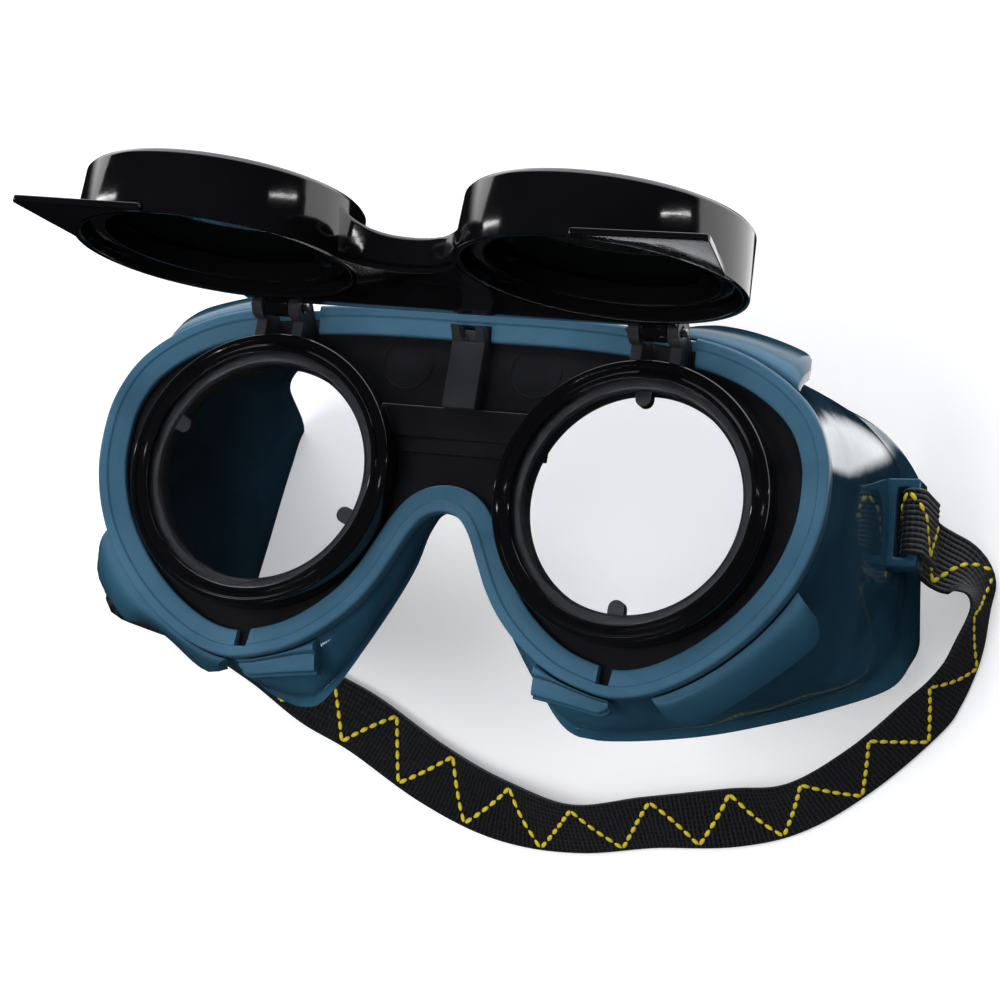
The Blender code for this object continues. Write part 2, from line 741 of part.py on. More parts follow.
def build_flip_frame(finish, flip):
    bm = bmesh.new()
    add_prism(bm, web_outline(), flip_rim_z, flip_rim_z + web_thickness)
    shift_to_hinge(bm)
    frame = finish_mesh(bm, "flip_frame", finish, flip)

    bm = bmesh.new()
    rows_to_faces(bm, bridge_rows())
    for side in (1, -1):
        wing = rounded_polygon([(wing_base_x, wing_tip_y + cup_wall / 2), (wing_tip_x, wing_tip_y),
                                (wing_side_x, wing_side_y), (wing_base_x + cup_wall, wing_side_y)],
                               wing_round)
        add_prism(bm, [(side * x, y) for x, y in wing], flip_rim_z, flip_rim_z + wing_thickness)
        start = side * hinge_x - knuckle_width / 2
        add_prism(bm, knuckle_outline(), start, start + knuckle_width, across())
    shift_to_hinge(bm)
    combine(frame, bm, "bridge_wings_and_knuckles", "UNION", finish, flip)

    bm = bmesh.new()
    for side in (1, -1):
        add_prism(bm, circle(cup_radius - cup_wall * cup_joint_share, segments, (side * lens_x, 0)),
                  flip_rim_z - cut_overrun, flip_rim_z + cup_depth + cut_overrun)
    pin_hole(bm)
    shift_to_hinge(bm)
    combine(frame, bm, "flip_cuts", "DIFFERENCE", finish, flip)

    bm = bmesh.new()
    for side in (1, -1):
        add_turned(bm, cup_profile(), (side * lens_x, 0))
    shift_to_hinge(bm)
    combine(frame, bm, "cups", "UNION", finish, flip)
    return frame


def shift_to_hinge(bm):
    bmesh.ops.recalc_face_normals(bm, faces=bm.faces)
    bmesh.ops.translate(bm, verts=bm.verts, vec=(0, -hinge_y, -hinge_z))


def build_pin(name, finish, root, side):
    bm = bmesh.new()
    start = -pin_length / 2
    add_prism(bm, circle(pin_radius, 16), start, start + pin_length, across())
    return finish_mesh(bm, name, finish, root, (side * hinge_x, hinge_y, hinge_z))


def rim_stretch(span, gap):
    # Points just outside the rim outline between two places along it
    rim, skirt, inward = mask_rings()
    made = []
    for step in range(hood_steps + 1):
        place = (span[0] + (span[1] - span[0]) * step / hood_steps) * spline_steps
        index = int(place)
        share = place - index
        point = rim[index].lerp(rim[index + 1], share)
        out = -inward[index].lerp(inward[index + 1], share).normalized()
        made.append(point + out * gap)
    return made


def hood_corner(shares):
    # An outer corner of a hood, from its shares of the rim's half width, its height and the drop
    height = rim_top if shares[1] > 0 else rim_bottom
    return Vector((shares[0] * rim_half_width, shares[1] * height, plate_face_z - shares[2] * hood_drop))


def build_hood(name, finish, root, side, span, corner_shares):
    # A curved cowl: level beside the rim, falling back to a straight outer edge
    first, last = (hood_corner(shares) for shares in corner_shares)
    rows = []
    for step, near in enumerate(rim_stretch(span, fit_gap)):
        edge = first.lerp(last, step / hood_steps)
        out = Vector((edge.x - near.x, edge.y - near.y, 0))
        fall = plate_face_z - edge.z
        reach = 1 - hood_round / out.length * (step in (0, hood_steps))
        outer = []
        inner = []
        for share in hood_curve_shares:
            along = share * reach
            outer.append(near + out * along + Vector((0, 0, plate_face_z - fall * along ** 2)))
            back = out.normalized() * (-2 * fall * along) - Vector((0, 0, out.length))
            inner.append(outer[-1] + back.normalized() * hood_thickness)
        rows.append([Vector((side * point.x, point.y, point.z)) for point in outer + inner[::-1]])
    bm = bmesh.new()
    rows_to_faces(bm, rows)
    return finish_mesh(bm, name, finish, root)


def build_nose_hood(name, finish, root, side):
    # A sloping plate behind the rim, on a smaller block whose back stands off the flaring skirt
    plate = (rim_stretch(nose_hood_span_shares, fit_gap), nose_hood_edge_shares)
    block = (rim_stretch(nose_block_span_shares, neck_inset + neck_length), nose_block_edge_shares)
    plate_back_z = plate_face_z - small_hood_plate
    rows = []
    for (near, edge_shares), z in ((block, plate_face_z - small_hood_thickness), (block, plate_back_z),
                                   (plate, plate_back_z), (plate, plate_face_z)):
        row = [Vector((side * point.x, point.y, z)) for point in near]
        for across_share, down_share in edge_shares:
            row.append(Vector((side * across_share * rim_half_width, down_share * rim_bottom,
                               z - small_hood_slope)))
        rows.append(row)
    bm = bmesh.new()
    rows_to_faces(bm, rows)
    return finish_mesh(bm, name, finish, root)


def lug_wrap(side):
    # The strap's end round a lug bar: tail outside, over the bar's front, back through the slot
    placed = lug_matrix(side)
    offset = fit_gap + strap_thickness / 2
    outside = lug_slot_start + lug_slot + lug_bar + offset
    inside = lug_slot_start + lug_slot - offset
    radius = (outside - inside) / 2
    middle = (outside + inside) / 2
    corner = lug_bar / 2 - lug_edge / 2
    turn_z = lug_bar_depth / 2 - lug_edge / 2 - math.sqrt(
        max((radius - offset) ** 2 - corner ** 2, 0))
    line = [(outside, -lug_bar_depth / 2 - strap_tail), (outside, -lug_bar_depth / 2), (outside, turn_z)]
    line += arc((middle, turn_z), radius, 0, 180)[1:-1]
    line += [(inside, turn_z), (inside, -lug_bar_depth / 2), (inside, -lug_bar_depth)]
    width = placed.to_3x3() @ Vector((0, -1, 0))
    return [(placed @ Vector((u, 0, z)), width) for u, z in line]


def slider_frame(stations):
    # Where the slider sits on the strap: its place, and the strap's own directions there
    nearest = min(range(1, len(stations) - 1), key=lambda i: (stations[i][0] - slider_place).length)
    along = (stations[nearest + 1][0] - stations[nearest - 1][0]).normalized()
    width = stations[nearest][1]
    width = (width - along * width.dot(along)).normalized()
    return stations[nearest][0].copy(), along, width, along.cross(width)


def strap_middle_line():
    # The strap's smooth free stretch, before it is woven through the slider
    free = [lug_wrap(1)[-1]] + [(Vector(p), Vector(w)) for p, w in strap_route] + [lug_wrap(-1)[-1]]
    smooth = spline([(*p, *w.normalized()) for p, w in free], route_steps, False)
    return [(Vector(s[:3]), Vector(s[3:]).normalized()) for s in smooth]


def strap_stations():
    # Middle line and width direction of the strap from one end to the other
    line = strap_middle_line()
    place, along, width, normal = slider_frame(line)
    kept = [line[0]]
    for station in line[1:-1]:
        near = (station[0] - place).length < slider_half_length + strap_step
        step = slider_strap_step if near else strap_step
        if (station[0] - kept[-1][0]).length >= step:
            kept.append(station)
    woven = []
    for centre, direction in kept:
        reach = (centre - place).dot(along)
        share = slider_hold((centre - place).length)
        straight = place + along * reach + normal * slider_weave(abs(reach))
        woven.append((centre.lerp(straight, share), direction.lerp(width, share).normalized()))
    return lug_wrap(1)[:-1] + woven + lug_wrap(-1)[::-1]


def slider_hold(distance):
    # How much the strap follows the slider: wholly inside it, and less and less past its ends
    fade = (distance - slider_half_length - strap_thickness) / slider_half_length
    fade = min(max(fade, 0), 1)
    return 1 - fade * fade * (3 - 2 * fade)


def slider_weave(reach):
    # How far the strap stands off the slider's plane: under its ends, over its middle bar
    lift = slider_thickness / 2 + strap_thickness / 2 + fit_gap * 1.5
    start = slider_half_length - slider_end_bar
    end = slider_middle_bar / 2 + fit_gap
    share = min(max((start - reach) / (start - end), 0), 1)
    return lift * (2 * share * share * (3 - 2 * share) - 1)


def build_strap(finish, root):
    stations = strap_stations()
    rows = []
    for i, (centre, width) in enumerate(stations):
        before = stations[max(i - 1, 0)][0]
        after = stations[min(i + 1, len(stations) - 1)][0]
        along = (after - before).normalized()
        width = (width - along * width.dot(along)).normalized()
        normal = along.cross(width)
        half_width = width * strap_width / 2
        half_thickness = normal * strap_thickness / 2
        rows.append([centre + half_width + half_thickness, centre - half_width + half_thickness,
                     centre - half_width - half_thickness, centre + half_width - half_thickness])
    bm = bmesh.new()
    rows_to_faces(bm, rows)
    return finish_mesh(bm, "head_strap", finish, root)


def build_slider(finish, root):
    place, along, width, normal = slider_frame(strap_middle_line())
    corners = [(-slider_half_length, -slider_half_width), (slider_half_length, -slider_half_width),
               (slider_half_length, slider_half_width), (-slider_half_length, slider_half_width)]
    bm = bmesh.new()
    add_prism(bm, rounded_polygon(corners, slider_round, 4), -slider_thickness / 2, slider_thickness / 2)
    slider = finish_mesh(bm, "strap_slider", finish, root)
    bm = bmesh.new()
    low = slider_middle_bar / 2
    high = slider_half_length - slider_end_bar
    half = slider_half_width - slider_slot_margin
    for side in (1, -1):
        xs = sorted((side * low, side * high))
        add_box(bm, (xs[0], -half, -slider_thickness), (xs[1], half, slider_thickness))
    combine(slider, bm, "slider_slots", "DIFFERENCE", finish, root)
    turned = Matrix((along, width, normal)).transposed().to_4x4()
    for piece in (slider, slider.modifiers[0].object):
        piece.matrix_local = Matrix.Translation(place) @ turned
    return slider


def build_all():
    remove_everything()
    pvc = material("soft_teal_pvc", (0.030, 0.095, 0.140), 0.25)
    black = material("black_polycarbonate", (0.012, 0.012, 0.014), 0.22)
    vent = material("teal_vent_plastic", (0.035, 0.100, 0.140), 0.40)
    clear = material("clear_polycarbonate", (0.80, 0.82, 0.86), 0.05, 0.0, 0.35)
    shade = material("shade_glass", (0.010, 0.022, 0.012), 0.05, 0.0, 0.80)
    webbing = material("black_webbing", (0.020, 0.020, 0.022), 0.80)
    steel = material("steel_pin", (0.60, 0.60, 0.62), 0.30, 1.0)

    root = empty("goggles", None, (0, -middle_y, skirt_depth))
    flip = empty("flip_axis", root, (0, hinge_y, hinge_z), (math.radians(-90), 0, 0))

    build_mask(pvc, root)
    build_front_frame(black, root)
    build_flip_frame(black, flip)
    for side, label in ((1, "right"), (-1, "left")):
        x = side * lens_x
        build_hood("vent_hood_top_" + label, vent, root, side, top_hood_span_shares,
                   top_hood_corner_shares)
        build_hood("vent_hood_bottom_" + label, vent, root, side, bottom_hood_span_shares,
                   bottom_hood_corner_shares)
        build_nose_hood("nose_vent_hood_" + label, vent, root, side)
        build_lens("clear_lens_" + label, clear, root, (x, 0, clear_lens_front_z), clear_lens_thickness)
        angles = clear_nub_angles_right if side > 0 else clear_nub_angles_left
        build_ring("clear_lens_ring_" + label, black, root, (x, 0, clear_ring_front_z), angles)
        build_lens("cover_lens_" + label, clear, flip,
                   (x, -hinge_y, cover_lens_front_z - hinge_z), cover_lens_thickness)
        build_lens("dark_lens_" + label, shade, flip,
                   (x, -hinge_y, dark_lens_front_z - hinge_z), dark_lens_thickness)
        build_ring("dark_lens_ring_" + label, black, flip,
                   (x, -hinge_y, dark_ring_front_z - hinge_z), dark_nub_angles)
        build_pin("hinge_pin_" + label, steel, root, side)
    build_strap(webbing, root)
    build_slider(black, root)


build_all()
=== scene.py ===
import bmesh
import bpy
import math
import numpy as np
from mathutils import Matrix, Vector


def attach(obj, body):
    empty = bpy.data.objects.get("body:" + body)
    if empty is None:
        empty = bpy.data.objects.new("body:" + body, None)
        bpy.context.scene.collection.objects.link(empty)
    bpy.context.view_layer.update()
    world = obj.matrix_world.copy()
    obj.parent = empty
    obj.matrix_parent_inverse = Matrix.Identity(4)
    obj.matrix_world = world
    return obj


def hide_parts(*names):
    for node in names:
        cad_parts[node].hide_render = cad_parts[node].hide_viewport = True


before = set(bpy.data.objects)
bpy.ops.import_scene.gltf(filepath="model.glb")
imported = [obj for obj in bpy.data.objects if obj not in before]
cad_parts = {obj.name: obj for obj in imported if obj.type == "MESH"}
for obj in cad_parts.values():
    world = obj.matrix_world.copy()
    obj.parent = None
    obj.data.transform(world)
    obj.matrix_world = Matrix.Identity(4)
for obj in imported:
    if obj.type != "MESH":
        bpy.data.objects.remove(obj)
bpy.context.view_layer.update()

# Camera and studio. The goggles stand on their temple edges on a pale floor, under two soft boxes
# and three thin strips. A long lens sees them from above, and a little from the right and the front.
camera_place = (0.26173, -0.13546, 0.72143)
camera_right = (0.92951745, 0.15930477, -0.33259480)
camera_up = (-0.08195200, 0.96856278, 0.23488299)
camera_back = (0.35955692, -0.19107103, 0.91335135)
sensor_mm = 36.0
focal_px = 3400.0
photo_px = 1000.0
clip_near = 0.01
clip_far = 20.0
floor_pale = "#ededee"
floor_grey = "#5a5a5d"
floor_dark = "#141417"
floor_glow = 0.34
floor_lens_glow = 0.45
floor_half_size = 3.0
floor_gap = 0.0001
sky_fill = "#f4f6ff"
sky_mirrored = "#f0f6ff"
sky_low = 0.03
sky_high = 0.62
# What polished surfaces mirror: a dark studio with a bright wall behind, and two zones of the floor
# that glow only in reflections, painted reflections, one by the goggles' back right corner and one further
# back
sky_gloss = 0.02
back_gloss = 3.6
back_gloss_start = 0.62
back_gloss_full = 0.80
near_gloss = 2.2
near_start_x = 0.070
near_full_x = 0.078
near_start_y = 0.035
near_full_y = 0.041
far_gloss = 2.0
far_start_y = 0.12
far_full_y = 0.20
# Name, place, aim, size and power of each lamp, and whether polished surfaces mirror it
lamps = (
    ("front_box", (-0.36, -0.28, 1.32), (0, 0, 0.08), (0.80, 0.60), 10.0, False),
    ("back_box", (-0.15, 0.98, 1.05), (0, 0, 0.08), (1.10, 0.45), 9.0, False),
    ("left_strip", (-1.15, 0.25, 0.32), (0, 0.03, 0.12), (0.03, 0.50), 0.7, True),
    ("front_strip", (0.15, -1.20, 0.42), (0, 0, 0.08), (0.80, 0.010), 0.8, True),
    ("right_strip", (1.10, 0.45, 0.50), (0, 0, 0.08), (0.012, 0.50), 0.8, True),
)

scene = bpy.context.scene
scene.view_settings.view_transform = "Standard"


def colour(code):
    """An sRGB hex colour as the linear RGBA that shaders take."""
    shares = [int(code[i:i + 2], 16) / 255 for i in (1, 3, 5)]
    linear = [s / 12.92 if s <= 0.04045 else ((s + 0.055) / 1.055) ** 2.4 for s in shares]
    return (*linear, 1.0)


def add_node(tree, kind, settings=None, values=None, links=None):
    """Adds a node, sets its properties and input values, and joins other nodes' sockets to it."""
    node = tree.nodes.new(kind)
    for name, value in (settings or {}).items():
        setattr(node, name, value)
    for name, value in (values or {}).items():
        node.inputs[name].default_value = value
    for name, socket in (links or {}).items():
        tree.links.new(socket, node.inputs[name])
    return node


def new_material(name, values):
    """A material with its Principled shader's constant values set, ready for its textures."""
    made = bpy.data.materials.new(name)
    made.use_nodes = True
    shader = made.node_tree.nodes["Principled BSDF"]
    for socket, value in values.items():
        shader.inputs[socket].default_value = value
    return made, made.node_tree, shader


def build_camera():
    data = bpy.data.cameras.new("studio_camera")
    data.sensor_width = sensor_mm
    data.lens = focal_px / photo_px * sensor_mm
    data.clip_start = clip_near
    data.clip_end = clip_far
    camera = bpy.data.objects.new("studio_camera", data)
    axes = Matrix((camera_right, camera_up, camera_back)).transposed().to_4x4()
    camera.matrix_world = Matrix.Translation(camera_place) @ axes
    scene.collection.objects.link(camera)
    scene.camera = camera


def eye_rays(tree):
    """One for rays that come from the camera or through glass, zero for all others."""
    path = add_node(tree, "ShaderNodeLightPath")
    either = add_node(tree, "ShaderNodeMath", {"operation": "MAXIMUM"},
                      links={0: path.outputs["Is Camera Ray"], 1: path.outputs["Is Transmission Ray"]})
    return either.outputs[0], path


def build_world():
    # White to the eye. Its light falls from overhead, so upright walls stay darker than level tops
    world = bpy.data.worlds.new("studio")
    scene.world = world
    world.use_nodes = True
    tree = world.node_tree
    tree.nodes.clear()
    place = add_node(tree, "ShaderNodeTexCoord")
    parts = add_node(tree, "ShaderNodeSeparateXYZ", links={0: place.outputs["Generated"]})
    rise = add_node(tree, "ShaderNodeMapRange", {"interpolation_type": "SMOOTHSTEP"},
                    {"To Min": sky_low, "To Max": sky_high}, {"Value": parts.outputs["Z"]})
    white = add_node(tree, "ShaderNodeBackground", values={"Color": colour("#ffffff"), "Strength": 1.0})
    fill = add_node(tree, "ShaderNodeBackground", values={"Color": colour(sky_fill)},
                    links={"Strength": rise.outputs["Result"]})
    behind = add_node(tree, "ShaderNodeMapRange", {"interpolation_type": "SMOOTHSTEP"},
                      {"From Min": back_gloss_start, "From Max": back_gloss_full, "To Min": sky_gloss,
                       "To Max": back_gloss}, {"Value": parts.outputs["Y"]})
    dim = add_node(tree, "ShaderNodeBackground", values={"Color": colour(sky_mirrored)},
                   links={"Strength": behind.outputs["Result"]})
    seen, path = eye_rays(tree)
    mixed = add_node(tree, "ShaderNodeMixShader", links={0: seen, 1: fill.outputs[0], 2: white.outputs[0]})
    glossy = add_node(tree, "ShaderNodeMixShader",
                      links={0: path.outputs["Is Glossy Ray"], 1: mixed.outputs[0], 2: dim.outputs[0]})
    add_node(tree, "ShaderNodeOutputWorld", links={"Surface": glossy.outputs[0]})


def floor_zones(tree):
    """How brightly the floor glows in what polished surfaces mirror, as painted reflections: a near and a
    far zone, and none elsewhere.
    """
    place = add_node(tree, "ShaderNodeNewGeometry")
    parts = add_node(tree, "ShaderNodeSeparateXYZ", links={0: place.outputs["Position"]})
    behind = add_node(tree, "ShaderNodeMapRange", {"interpolation_type": "SMOOTHSTEP"},
                      {"From Min": near_start_y, "From Max": near_full_y, "To Max": near_gloss},
                      {"Value": parts.outputs["Y"]})
    beside = add_node(tree, "ShaderNodeMapRange", {"interpolation_type": "SMOOTHSTEP"},
                      {"From Min": near_start_x, "From Max": near_full_x}, {"Value": parts.outputs["X"]})
    near = add_node(tree, "ShaderNodeMath", {"operation": "MULTIPLY"},
                    links={0: behind.outputs["Result"], 1: beside.outputs["Result"]})
    far = add_node(tree, "ShaderNodeMapRange", {"interpolation_type": "SMOOTHSTEP"},
                   {"From Min": far_start_y, "From Max": far_full_y, "To Max": far_gloss},
                   {"Value": parts.outputs["Y"]})
    return add_node(tree, "ShaderNodeMath", {"operation": "MAXIMUM"},
                    links={0: near.outputs[0], 1: far.outputs["Result"]})


def build_floor():
    # Near white to the eye, so that mainly its shadows show, and grey in the light it throws back. Polished
    # surfaces mirror it dark, apart from two zones that glow only in their reflections: painted reflections
    half = floor_half_size
    mesh = bpy.data.meshes.new("floor")
    mesh.from_pydata([(-half, -half, -floor_gap), (half, -half, -floor_gap), (half, half, -floor_gap),
                      (-half, half, -floor_gap)], [], [(0, 1, 2, 3)])
    floor = bpy.data.objects.new("floor", mesh)
    scene.collection.objects.link(floor)
    made, tree, shader = new_material("pale_floor", {"Roughness": 0.9, "Specular IOR Level": 0.0})
    output = tree.nodes["Material Output"]
    seen, path = eye_rays(tree)
    mirrored = add_node(tree, "ShaderNodeMix", {"data_type": "RGBA"},
                        {"A": colour(floor_grey), "B": colour(floor_dark)},
                        {"Factor": path.outputs["Is Glossy Ray"]})
    tone = add_node(tree, "ShaderNodeMix", {"data_type": "RGBA"}, {"B": colour(floor_pale)},
                    {"Factor": seen, "A": mirrored.outputs["Result"]})
    zones = floor_zones(tree)
    lift = add_node(tree, "ShaderNodeMath", {"operation": "MULTIPLY_ADD"}, {1: floor_lens_glow, 2: 0.0},
                    {0: path.outputs["Is Transmission Ray"]})
    eye = add_node(tree, "ShaderNodeMath", {"operation": "MULTIPLY_ADD"}, {1: floor_glow},
                   {0: path.outputs["Is Camera Ray"], 2: lift.outputs[0]})
    gloss = add_node(tree, "ShaderNodeMath", {"operation": "MULTIPLY_ADD"},
                     links={0: path.outputs["Is Glossy Ray"], 1: zones.outputs[0], 2: eye.outputs[0]})
    glow = add_node(tree, "ShaderNodeEmission", values={"Color": colour("#ffffff")},
                    links={"Strength": gloss.outputs[0]})
    tree.links.new(tone.outputs["Result"], shader.inputs["Base Color"])
    both = add_node(tree, "ShaderNodeAddShader", links={0: shader.outputs[0], 1: glow.outputs[0]})
    tree.links.new(both.outputs[0], output.inputs["Surface"])
    mesh.materials.append(made)


def add_lamp(name, place, aim, size, power, mirrored):
    data = bpy.data.lights.new(name, "AREA")
    data.shape = "RECTANGLE"
    data.size, data.size_y = size
    data.energy = power
    lamp = bpy.data.objects.new(name, data)
    lamp.visible_glossy = mirrored
    lamp.location = place
    lamp.rotation_euler = (Vector(aim) - Vector(place)).to_track_quat("-Z", "Y").to_euler()
    scene.collection.objects.link(lamp)


build_camera()
build_world()
build_floor()
for lamp in lamps:
    add_lamp(*lamp)

# Head strap. Ribbed black elastic webbing, 14.4 mm wide, knitted with a yellow zigzag thread.
# Its ends are looped round the two lugs, and it lies on the floor in one loose loop.
to_frame = Vector((0, -0.001375, 0.090))
strap_width = 0.0144
strap_thickness = 0.0013
strap_step = 0.0009
strap_tail = 0.0060
strap_ribs = 12
rib_height = 0.00026
rib_fullness = 0.7
rib_steps = 6
selvedge_share = 0.03
selvedge_thinning = 0.6
weft_spacing = 0.0010
weft_relief = 0.00012
fuzz_size = 0.0012
# Black of the webbing, and the lighter colour painted on its crosswise rib as a painted highlight
webbing_black_and_rib_highlight = ("#070709", "#2b2c30")
# A wave texture repeats at this length where its scale is 1
wave_period = 0.314
stitch_pitch = 0.0182
stitch_start = -0.0119
stitches_per_leg = 6
stitch_half_length = 0.00100
stitch_half_width = 0.00052
stitch_flatness = 0.6
stitch_taper = 0.85
stitch_steps = 4
stitch_sides = 8
stitch_margin = 0.0010
thread_twist = 0.0006
thread_shades = ("#cbb010", "#fdec2c")
lug_wall_x = 0.0801
lug_y = 0.0120
lug_z = -0.0572
lug_lean = math.radians(4.0)
lug_slot_start = 0.0012
lug_slot = 0.0028
lug_bar = 0.0022
lug_bar_depth = 0.0065
lug_edge = 0.0005
lug_turn_steps = 12
fit_gap = 0.0003
route_steps = 24
sharp_degrees = 38
slider_place = Vector((-0.1087, -0.0062, -0.0840))
slider_half_length = 0.0090
slider_half_width = 0.0104
slider_thickness = 0.0020
slider_end_bar = 0.0020
slider_middle_bar = 0.0022
slider_slot_margin = 0.0022
strap_route = (
    ((0.0832, 0.0117, -0.0720), (0.00, -1.00, 0.00)),
    ((0.0846, 0.0106, -0.0772), (0.00, -1.00, 0.06)),
    ((0.0869, 0.0097, -0.0798), (0.03, -0.99, 0.14)),
    ((0.0902, 0.0086, -0.0812), (0.07, -0.95, 0.30)),
    ((0.0926, 0.0070, -0.0821), (0.04, -0.86, 0.51)),
    ((0.0944, 0.0042, -0.0826), (0.05, -0.75, 0.66)),
    ((0.0952, 0.0004, -0.0828), (0.00, -0.33, 0.94)),
    ((0.0949, -0.0038, -0.0827), (-0.07, -0.06, 0.99)),
    ((0.0938, -0.0088, -0.0826), (-0.17, -0.03, 0.98)),
    ((0.0923, -0.0138, -0.0827), (-0.22, 0.02, 0.97)),
    ((0.0898, -0.0189, -0.0828), (-0.33, 0.10, 0.94)),
    ((0.0860, -0.0242, -0.0830), (-0.42, 0.22, 0.88)),
    ((0.0745, -0.0366, -0.0831), (-0.32, 0.36, 0.87)),
    ((0.0610, -0.0467, -0.0834), (-0.25, 0.50, 0.83)),
    ((0.0460, -0.0508, -0.0848), (-0.13, 0.79, 0.60)),
    ((0.0280, -0.0541, -0.0838), (-0.07, 0.66, 0.75)),
    ((0.0105, -0.0576, -0.0836), (-0.02, 0.62, 0.78)),
    ((-0.0090, -0.0550, -0.0861), (0.15, 0.90, 0.40)),
    ((-0.0267, -0.0487, -0.0875), (0.40, 0.89, 0.20)),
    ((-0.0457, -0.0391, -0.0881), (0.45, 0.88, 0.12)),
    ((-0.0590, -0.0338, -0.0881), (0.50, 0.86, 0.10)),
    ((-0.0727, -0.0262, -0.0877), (0.42, 0.89, 0.18)),
    ((-0.0840, -0.0218, -0.0858), (0.35, 0.80, 0.50)),
    ((-0.0930, -0.0197, -0.0848), (0.55, 0.60, 0.58)),
    ((-0.1012, -0.0176, -0.0845), (0.75, 0.38, 0.54)),
    ((-0.1076, -0.0112, -0.0839), (0.86, 0.14, 0.49)),
    ((-0.1088, -0.0050, -0.0840), (0.93, 0.03, 0.36)),
    ((-0.1089, 0.0015, -0.0840), (0.93, -0.08, 0.36)),
    ((-0.1072, 0.0070, -0.0841), (0.78, -0.36, 0.51)),
    ((-0.1032, 0.0108, -0.0833), (0.34, -0.66, 0.67)),
    ((-0.0975, 0.0124, -0.0822), (0.07, -0.84, 0.54)),
    ((-0.0918, 0.0124, -0.0803), (0.00, -0.95, 0.30)),
    ((-0.0868, 0.0120, -0.0768), (0.00, -0.99, 0.10)),
    ((-0.0839, 0.0118, -0.0718), (0.00, -1.00, 0.00)),
)


def spline(points, steps, closed=False):
    """A smooth curve through points, as numpy arrays, with so many steps between each two."""
    points = [np.array(point, dtype=float) for point in points]
    count = len(points)
    made = []
    for i in range(count if closed else count - 1):
        b, c = points[i], points[(i + 1) % count]
        a = points[i - 1] if closed or i > 0 else 2 * b - c
        d = points[(i + 2) % count] if closed or i + 2 < count else 2 * c - b
        for step in range(steps):
            t = step / steps
            made.append(0.5 * (2 * b + (c - a) * t + (2 * a - 5 * b + 4 * c - d) * t * t
                               + (3 * b - a - 3 * c + d) * t * t * t))
    if not closed:
        made.append(points[-1])
    return made


def skin(rows, close_rows=False):
    """A new bmesh that joins rings of points, all of one count, into a closed surface."""
    bm = bmesh.new()
    add_skin(bm, rows, close_rows)
    return bm


def add_skin(bm, rows, close_rows=False):
    made = [[bm.verts.new(point) for point in row] for row in rows]
    pairs = list(zip(made, made[1:]))
    if close_rows:
        pairs.append((made[-1], made[0]))
    count = len(made[0])
    for lower, upper in pairs:
        for i in range(count):
            j = (i + 1) % count
            bm.faces.new((lower[i], lower[j], upper[j], upper[i]))
    if not close_rows:
        bm.faces.new(made[0])
        bm.faces.new(made[-1])


def new_piece(name, bm, finish, slot, body, placed=None, sharp=sharp_degrees):
    """Turns a bmesh in goggle coordinates into a piece that rides a body."""
    bmesh.ops.recalc_face_normals(bm, faces=bm.faces)
    mesh = bpy.data.meshes.new(name)
    bm.to_mesh(mesh)
    bm.free()
    if placed is not None:
        mesh.transform(placed)
    mesh.transform(Matrix.Translation(to_frame))
    mesh.shade_smooth()
    mesh.set_sharp_from_angle(angle=math.radians(sharp))
    mesh.materials.append(finish)
    piece = bpy.data.objects.new(name, mesh)
    scene.collection.objects.link(piece)
    if slot:
        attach(piece, body)
    return piece


def lug_matrix(side):
    """Lug coordinates: out from the wall, up along the slot, forward. The left one is mirrored."""
    placed = Matrix.Translation((lug_wall_x, lug_y, lug_z)) @ Matrix.Rotation(lug_lean, 4, "Z")
    return Matrix.Diagonal((side, 1, 1, 1)) @ placed


def lug_wrap(side):
    """The strap's end round a lug bar, from its tail outside to the leg that leaves the slot."""
    placed = lug_matrix(side)
    offset = fit_gap + strap_thickness / 2
    outside = lug_slot_start + lug_slot + lug_bar + offset
    inside = lug_slot_start + lug_slot - offset
    radius = (outside - inside) / 2
    middle = (outside + inside) / 2
    corner = lug_bar / 2 - lug_edge / 2
    turn_z = lug_bar_depth / 2 - lug_edge / 2 - math.sqrt(max((radius - offset) ** 2 - corner ** 2, 0))
    line = [(outside, -lug_bar_depth / 2 - strap_tail), (outside, -lug_bar_depth / 2), (outside, turn_z)]
    for step in range(1, lug_turn_steps):
        angle = math.pi * step / lug_turn_steps
        line.append((middle + radius * math.cos(angle), turn_z + radius * math.sin(angle)))
    line += [(inside, turn_z), (inside, -lug_bar_depth / 2), (inside, -lug_bar_depth)]
    width = placed.to_3x3() @ Vector((0, -1, 0))
    return [(placed @ Vector((u, 0, z)), width) for u, z in line]


def smooth_between(value, low, high):
    """Rises smoothly from zero at the low value to one at the high value."""
    share = min(max((value - low) / (high - low), 0), 1)
    return share * share * (3 - 2 * share)


